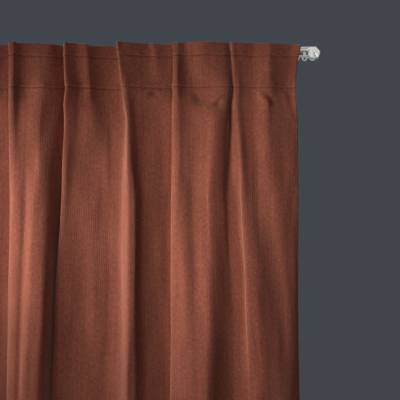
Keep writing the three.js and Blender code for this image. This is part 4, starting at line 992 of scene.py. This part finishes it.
def untangled(offset, sec, rounds=12):
    """Pulls apart the points of an offset section that have overtaken each other."""
    p = offset.copy()
    for _ in range(rounds):
        along = np.diff(sec, axis=1)
        moved = np.diff(p, axis=1)
        back = (moved * along).sum(-1) <= 0.02 * (along * along).sum(-1)
        if not back.any():
            break
        q = p.copy()
        near = np.zeros(p.shape[:2], bool)
        near[:, :-1] |= back
        near[:, 1:] |= back
        near[:, 0] = near[:, -1] = False
        mean = (np.roll(p, 1, 1) + np.roll(p, -1, 1) + p) / 3
        q[near] = mean[near]
        p = q
    return p


TAPE_COLUMNS_OFF = 3


def tape_piece(material):
    rows = np.array([TAPE_TOP, TAPE_TOP + 0.5] + list(np.linspace(TAPE_TOP + 2.5, TAPE_LOW - 2.5, 27)) + [TAPE_LOW - 0.5, TAPE_LOW])
    sec, sag, cell = sections(rows)
    u = arcs_of(sec, cell) * 1000
    cut = slice(TAPE_COLUMNS_OFF, sec.shape[1] - TAPE_COLUMNS_OFF)
    way = eased_normals(forward_of(sec), sec, 1.2)
    inner = untangled(sec - way * (CLOTH_T + TAPE_GAP), sec)
    # pockets stand a little proud between their seams, in two rows
    D = np.repeat(rows[:, None], sec.shape[1], 1)
    pocket = smoothstep(34, 36, D) * (1 - smoothstep(47, 49, D)) + smoothstep(56, 58, D) * (1 - smoothstep(69, 71, D))
    rise = 0.55 * pocket * np.abs(np.sin(math.pi * u / 11.0)) ** 0.5
    hooks = np.array([(mm_box("hook_" + n)[0][0] + mm_box("hook_" + n)[1][0]) / 2 for n in CARRIED[1:-1]] + [(mm_box("hook_left_edge")[1][0] - 1.3), (mm_box("hook_right_edge")[0][0] + 1.3)])
    near = np.min(np.abs(sec[..., 0][..., None] - hooks[None, None]), axis=-1)
    rise *= smoothstep(5.0, 9.0, near)
    outer = untangled(sec - way * (CLOTH_T + TAPE_GAP + TAPE_T + rise - 0.12)[..., None], sec)
    for n in CARRIED:
        (x0, y0, _), (x1, _, _) = mm_box("hook_" + n)
        x = {"left_edge": x1 - 1.3, "right_edge": x0 + 1.3}.get(n, (x0 + x1) / 2)
        touch = (np.abs(outer[..., 0] - x) < 3.0) & (PLANE_Y - outer[..., 1] > y0 - 0.3)
        outer[..., 1] = np.where(touch, np.minimum(np.maximum(outer[..., 1], PLANE_Y - y0 + 0.3), inner[..., 1] - 0.25), outer[..., 1])
    inner, outer, uu = inner[:, cut], outer[:, cut], u[:, cut] / 1000
    drop_z = (CLOTH_TOP - D - sag[None, :] * np.maximum(1 - D / SAG_DEPTH, 0) ** 2)[:, cut]
    def world(s):
        return np.stack([s[..., 0], PLANE_Y - s[..., 1], drop_z], -1) * MM
    obj = closed_cloth("heading_tape_fine", world(inner), world(outer), list(range(len(rows))), uu, -D[:, cut] * MM, 0.0)
    obj.data.materials.append(material)
    obj.data.materials.append(material)
    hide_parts("heading_tape")
    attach(obj, "root")
    return obj, world(outer), rows


def thread_row(shell, line, normal, pitch, length, radius, sink):
    """Small stitches laid end to end along a line of points, mm, standing half out of the cloth."""
    line, normal = np.asarray(line), np.asarray(normal)
    step = np.linalg.norm(np.diff(line, axis=0), axis=1)
    run = np.concatenate([[0], np.cumsum(step)])
    def at(s):
        return np.array([np.interp(s, run, line[:, k]) for k in range(3)]), np.array([np.interp(s, run, normal[:, k]) for k in range(3)])
    s = pitch
    while s + length < run[-1] - pitch:
        rings = []
        for t, fat, dive in ((0.0, 0.35, 1.2), (0.12, 0.85, 0.5), (0.35, 1.0, 0.05), (0.65, 1.0, 0.05), (0.88, 0.85, 0.5), (1.0, 0.35, 1.2)):
            p, n = at(s + t * length)
            q, _ = at(s + t * length + 0.05)
            d = (q - p) / max(np.linalg.norm(q - p), 1e-9)
            n = n - d * (n @ d)
            n /= max(np.linalg.norm(n), 1e-9)
            b = np.cross(d, n)
            c = p + n * (sink - dive * radius)
            rings.append([tuple(c + (n * math.cos(a) + b * math.sin(a)) * radius * fat) for a in np.linspace(0, 2 * math.pi, 7)[:-1]])
        shell.loft(rings)
        s += pitch



def stitching(front_lines, outer, rows, hem_lines):
    """The heading's two seams: rust thread sunk in the pile in front, ivory thread on the tape behind. Sparse hem stitches."""
    made = []
    shell = Shell()
    for line, way in front_lines:
        thread_row(shell, line[4:-4], way[4:-4], 3.4, 2.5, 0.3, 0.05)
    made.append(("stitching_front", shell, "velvet", twisted_thread("rust_thread", (0.07, 0.020, 0.013), (0.17, 0.052, 0.034))))
    shell = Shell()
    for row in (1.5, TAPE_LOW - TAPE_TOP - 1.0):
        j = int(np.argmin(np.abs(rows - TAPE_TOP - row)))
        line = outer[j] / MM
        along = np.gradient(line, axis=0)
        way = np.stack([along[:, 1], -along[:, 0], np.zeros(len(line))], -1)
        way *= np.sign(way[:, 1].sum())
        thread_row(shell, line[4:-4], way[4:-4], 3.6, 2.7, 0.38, 0.0)
    made.append(("stitching_back", shell, "tape", twisted_thread("ivory_thread", (0.30, 0.26, 0.20), (0.56, 0.51, 0.42))))
    shell = Shell()
    for line, way in hem_lines:
        thread_row(shell, line, way, 9.0, 4.2, 0.36, 0.0)
    made.append(("stitching_hems", shell, "velvet", twisted_thread("hem_thread", (0.07, 0.020, 0.013), (0.17, 0.052, 0.034))))
    out = []
    for name, shell, slot, material in made:
        obj = shell.piece(name, [material], angle=80)
        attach(obj, "root")
        out.append(obj)
    return out


# ------------------------------------------------------------------ finishes of the small parts
def moulded(name, colour, rough, speckle, grain_size, sheen=0.0, milky=0.0):
    """Injection-moulded plastic: a faint grain, soft flow marks and slightly uneven gloss."""
    mat, nt, s = nodes_of(name)
    g = Graph(nt)
    place = nt.nodes.new("ShaderNodeTexCoord").outputs["Object"]
    grain = g.noise(place, grain_size, 3.0, 0.6)
    flow = g.noise(place, 90.0, 3.0, 0.55)
    tone = g.math("ADD", g.math("MULTIPLY", flow, 0.7), g.math("MULTIPLY", grain, 0.3))
    pale = tuple(min(1.0, c * 1.06) for c in colour)
    dull = tuple(c * (1.0 - speckle) for c in colour)
    nt.links.new(g.ramp(tone, [(0.25, dull), (0.6, colour), (0.85, pale)]), s.inputs["Base Color"])
    nt.links.new(g.math("MULTIPLY_ADD", flow, 0.22, rough - 0.11), s.inputs["Roughness"])
    nt.links.new(g.bump(g.math("ADD", grain, g.math("MULTIPLY", flow, 2.0)), 0.00006, 0.5), s.inputs["Normal"])
    s.inputs["Subsurface Weight"].default_value = milky
    s.inputs["Subsurface Radius"].default_value = (0.002, 0.002, 0.002)
    s.inputs["Subsurface Scale"].default_value = 1.0
    return mat


def rail_coat():
    """Powder-coated aluminium: die lines along the rail, a fine orange-peel and a soft uneven tone."""
    mat, nt, s = nodes_of("rail_coat")
    g = Graph(nt)
    place = nt.nodes.new("ShaderNodeTexCoord").outputs["Object"]
    sep = nt.nodes.new("ShaderNodeSeparateXYZ")
    nt.links.new(place, sep.inputs[0])
    x, y, z = sep.outputs
    drawn = g.noise(g.vec(g.math("MULTIPLY", x, 14.0), g.math("MULTIPLY", y, 2600.0), g.math("MULTIPLY", z, 2600.0)), 1.0, 3.0, 0.6)
    peel = g.noise(place, 1500.0, 2.0, 0.5)
    soft = g.noise(g.vec(g.math("MULTIPLY", x, 9.0), g.math("MULTIPLY", y, 60.0), g.math("MULTIPLY", z, 60.0)), 1.0, 3.0, 0.6)
    tone = g.math("ADD", g.math("MULTIPLY", drawn, 0.35), g.math("MULTIPLY", soft, 0.65))
    nt.links.new(g.ramp(tone, [(0.25, (0.60, 0.60, 0.59)), (0.5, (0.74, 0.74, 0.73)), (0.8, (0.80, 0.80, 0.79))]), s.inputs["Base Color"])
    nt.links.new(g.math("MULTIPLY_ADD", soft, 0.2, 0.28), s.inputs["Roughness"])
    nt.links.new(g.bump(g.math("ADD", drawn, g.math("MULTIPLY", peel, 0.8)), 0.00005, 0.5), s.inputs["Normal"])
    return mat


def tape_weave():
    """Ivory woven tape: a plain weave and the seams of its pockets."""
    mat, nt, s = nodes_of("tape_weave")
    g = Graph(nt)
    uv = nt.nodes.new("ShaderNodeUVMap")
    uv.uv_map = "cloth"
    sep = nt.nodes.new("ShaderNodeSeparateXYZ")
    nt.links.new(uv.outputs["UV"], sep.inputs[0])
    u, v = sep.outputs[0], sep.outputs[1]
    warp = g.math("SINE", g.math("MULTIPLY", u, 2 * math.pi / 0.0010))
    weft = g.math("SINE", g.math("MULTIPLY", v, 2 * math.pi / 0.0010))
    weave = g.math("MULTIPLY_ADD", g.math("MULTIPLY", warp, weft), 0.5, 0.5)
    seam = g.math("POWER", g.math("ABSOLUTE", g.math("COSINE", g.math("MULTIPLY", u, math.pi / 0.011))), 24.0)
    slub = g.noise(g.vec(g.math("MULTIPLY", u, 60.0), g.math("MULTIPLY", v, 900.0)), 1.0, 3.0, 0.6)
    soil = g.noise(g.vec(g.math("MULTIPLY", u, 14.0), g.math("MULTIPLY", v, 22.0)), 1.0, 4.0, 0.6)
    tone = g.math("ADD", g.math("MULTIPLY", weave, 0.4), g.math("ADD", g.math("MULTIPLY", slub, 0.3), g.math("MULTIPLY", soil, 0.3)))
    tone = g.math("SUBTRACT", tone, g.math("MULTIPLY", seam, 0.25))
    nt.links.new(g.ramp(tone, [(0.1, (0.42, 0.38, 0.31)), (0.5, (0.66, 0.62, 0.53)), (0.85, (0.78, 0.75, 0.66))]), s.inputs["Base Color"])
    nt.links.new(g.bump(g.math("ADD", weave, g.math("MULTIPLY", slub, 0.8)), 0.0003, 0.6), s.inputs["Normal"])
    s.inputs["Roughness"].default_value = 0.9
    s.inputs["Specular IOR Level"].default_value = 0.2
    s.inputs["Sheen Weight"].default_value = 0.1
    return mat


def twisted_thread(name, dark, pale):
    mat, nt, s = nodes_of(name)
    g = Graph(nt)
    place = nt.nodes.new("ShaderNodeTexCoord").outputs["Object"]
    sep = nt.nodes.new("ShaderNodeSeparateXYZ")
    nt.links.new(place, sep.inputs[0])
    ply = g.math("SINE", g.math("MULTIPLY", g.math("ADD", sep.outputs[0], sep.outputs[2]), 2 * math.pi / 0.0006))
    fuzz = g.noise(place, 2400.0, 2.0, 0.6)
    tone = g.math("ADD", g.math("MULTIPLY_ADD", ply, 0.25, 0.3), g.math("MULTIPLY", fuzz, 0.4))
    nt.links.new(g.ramp(tone, [(0.1, dark), (0.9, pale)]), s.inputs["Base Color"])
    nt.links.new(g.bump(g.math("ADD", ply, fuzz), 0.00008, 0.6), s.inputs["Normal"])
    s.inputs["Roughness"].default_value = 0.8
    return mat


# ------------------------------------------------------------------ build
curtain, stitch_lines, hem_lines = build_curtain()
curtain.data.materials.append(velvet_face())
curtain.data.materials.append(woven_back())
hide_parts("curtain_panel")
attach(curtain, "root")

tape, tape_outer, tape_rows = tape_piece(tape_weave())
threads = stitching(stitch_lines, tape_outer, tape_rows, hem_lines)

rail_piece(rail_coat())
white_plastic = moulded("white_plastic", (0.76, 0.76, 0.75), 0.42, 0.07, 1400.0, milky=0.15)
cap_piece("end_cap_fine_right", "end_cap_right", white_plastic, False)
cap_piece("end_cap_fine_left", "end_cap_left", white_plastic, True)
glider_pieces(white_plastic)
hook_nylon = moulded("hook_nylon", (0.72, 0.72, 0.69), 0.36, 0.09, 1900.0, milky=0.3)
for carried in CARRIED:
    hook_piece(carried, hook_nylon)


# ------------------------------------------------------------------ stage and light
def plain(name, colour, rough):
    mat, nt, s = nodes_of(name)
    s.inputs["Base Color"].default_value = (*colour, 1.0)
    s.inputs["Roughness"].default_value = rough
    return mat


def stage_and_light():
    mesh = bpy.data.meshes.new("floor")
    z, r = CAD_BOX[0][2] - 0.003, 6.0
    mesh.from_pydata([(-r, -r, z), (r, -r, z), (r, r, z), (-r, r, z)], [], [(0, 1, 2, 3)])
    floor = bpy.data.objects.new("floor", mesh)
    bpy.context.scene.collection.objects.link(floor)
    mesh.materials.append(plain("pale_floor", (0.62, 0.61, 0.6), 0.8))
    world = bpy.data.worlds.new("world")
    bpy.context.scene.world = world
    world.use_nodes = True
    bg = world.node_tree.nodes["Background"]
    bg.inputs[0].default_value = (*WORLD_COLOUR, 1.0)
    bg.inputs[1].default_value = 1.0
    for name, at, aim, size, spread, power, colour in LIGHTS:
        data = bpy.data.lights.new(name, "AREA")
        data.shape = "RECTANGLE"
        data.size, data.size_y = size
        data.spread = math.radians(spread)
        data.energy = power
        data.color = colour
        lamp = bpy.data.objects.new(name, data)
        bpy.context.scene.collection.objects.link(lamp)
        lamp.location = at
        lamp.rotation_euler = (Vector(aim) - Vector(at)).to_track_quat("-Z", "Y").to_euler()
        lamp.visible_camera = False


WORLD_COLOUR = (0.052, 0.062, 0.072)
LIGHTS = (
    ("key", (-1.12, -0.66, -0.30), (0.0, -0.03, -0.38), (1.2, 0.3), 46.0, 5.45, (0.94, 1.0, 0.965)),
    ("front_soft", (0.25, -2.6, 1.0), (0.08, 0.0, 0.16), (3.0, 1.4), 66.0, 4.3, (1.0, 0.93, 0.89)),
    ("rail_end", (0.50, -1.05, 0.12), (0.487, 0.0, -0.008), (0.04, 0.04), 5.0, 0.002, (1.0, 0.99, 1.0)),
    ("mid_fill", (-0.5, -3.1, -1.28), (0.0, 0.0, -1.24), (0.5, 0.16), 21.0, 0.75, (1.0, 0.97, 0.94)),
    ("low_front", (1.1, -2.9, -1.3), (0.0, 0.0, -2.05), (1.8, 1.0), 40.0, 7.5, (1.0, 0.98, 0.96)),
    ("low_left", (-2.4, -1.9, -1.3), (0.0, 0.0, -2.05), (1.4, 1.0), 38.0, 4.6, (1.0, 0.98, 0.96)),
    ("back_left", (-1.9, 2.6, 0.5), (0.0, 0.0, -1.1), (2.2, 2.6), 120.0, 46.0, (1.0, 0.98, 0.95)),
    ("back_right", (2.2, 2.2, 0.2), (0.0, 0.0, -1.1), (1.8, 2.4), 120.0, 18.0, (0.95, 0.97, 1.0)),
)
stage_and_light()
bpy.context.scene.view_settings.view_transform = "Standard"
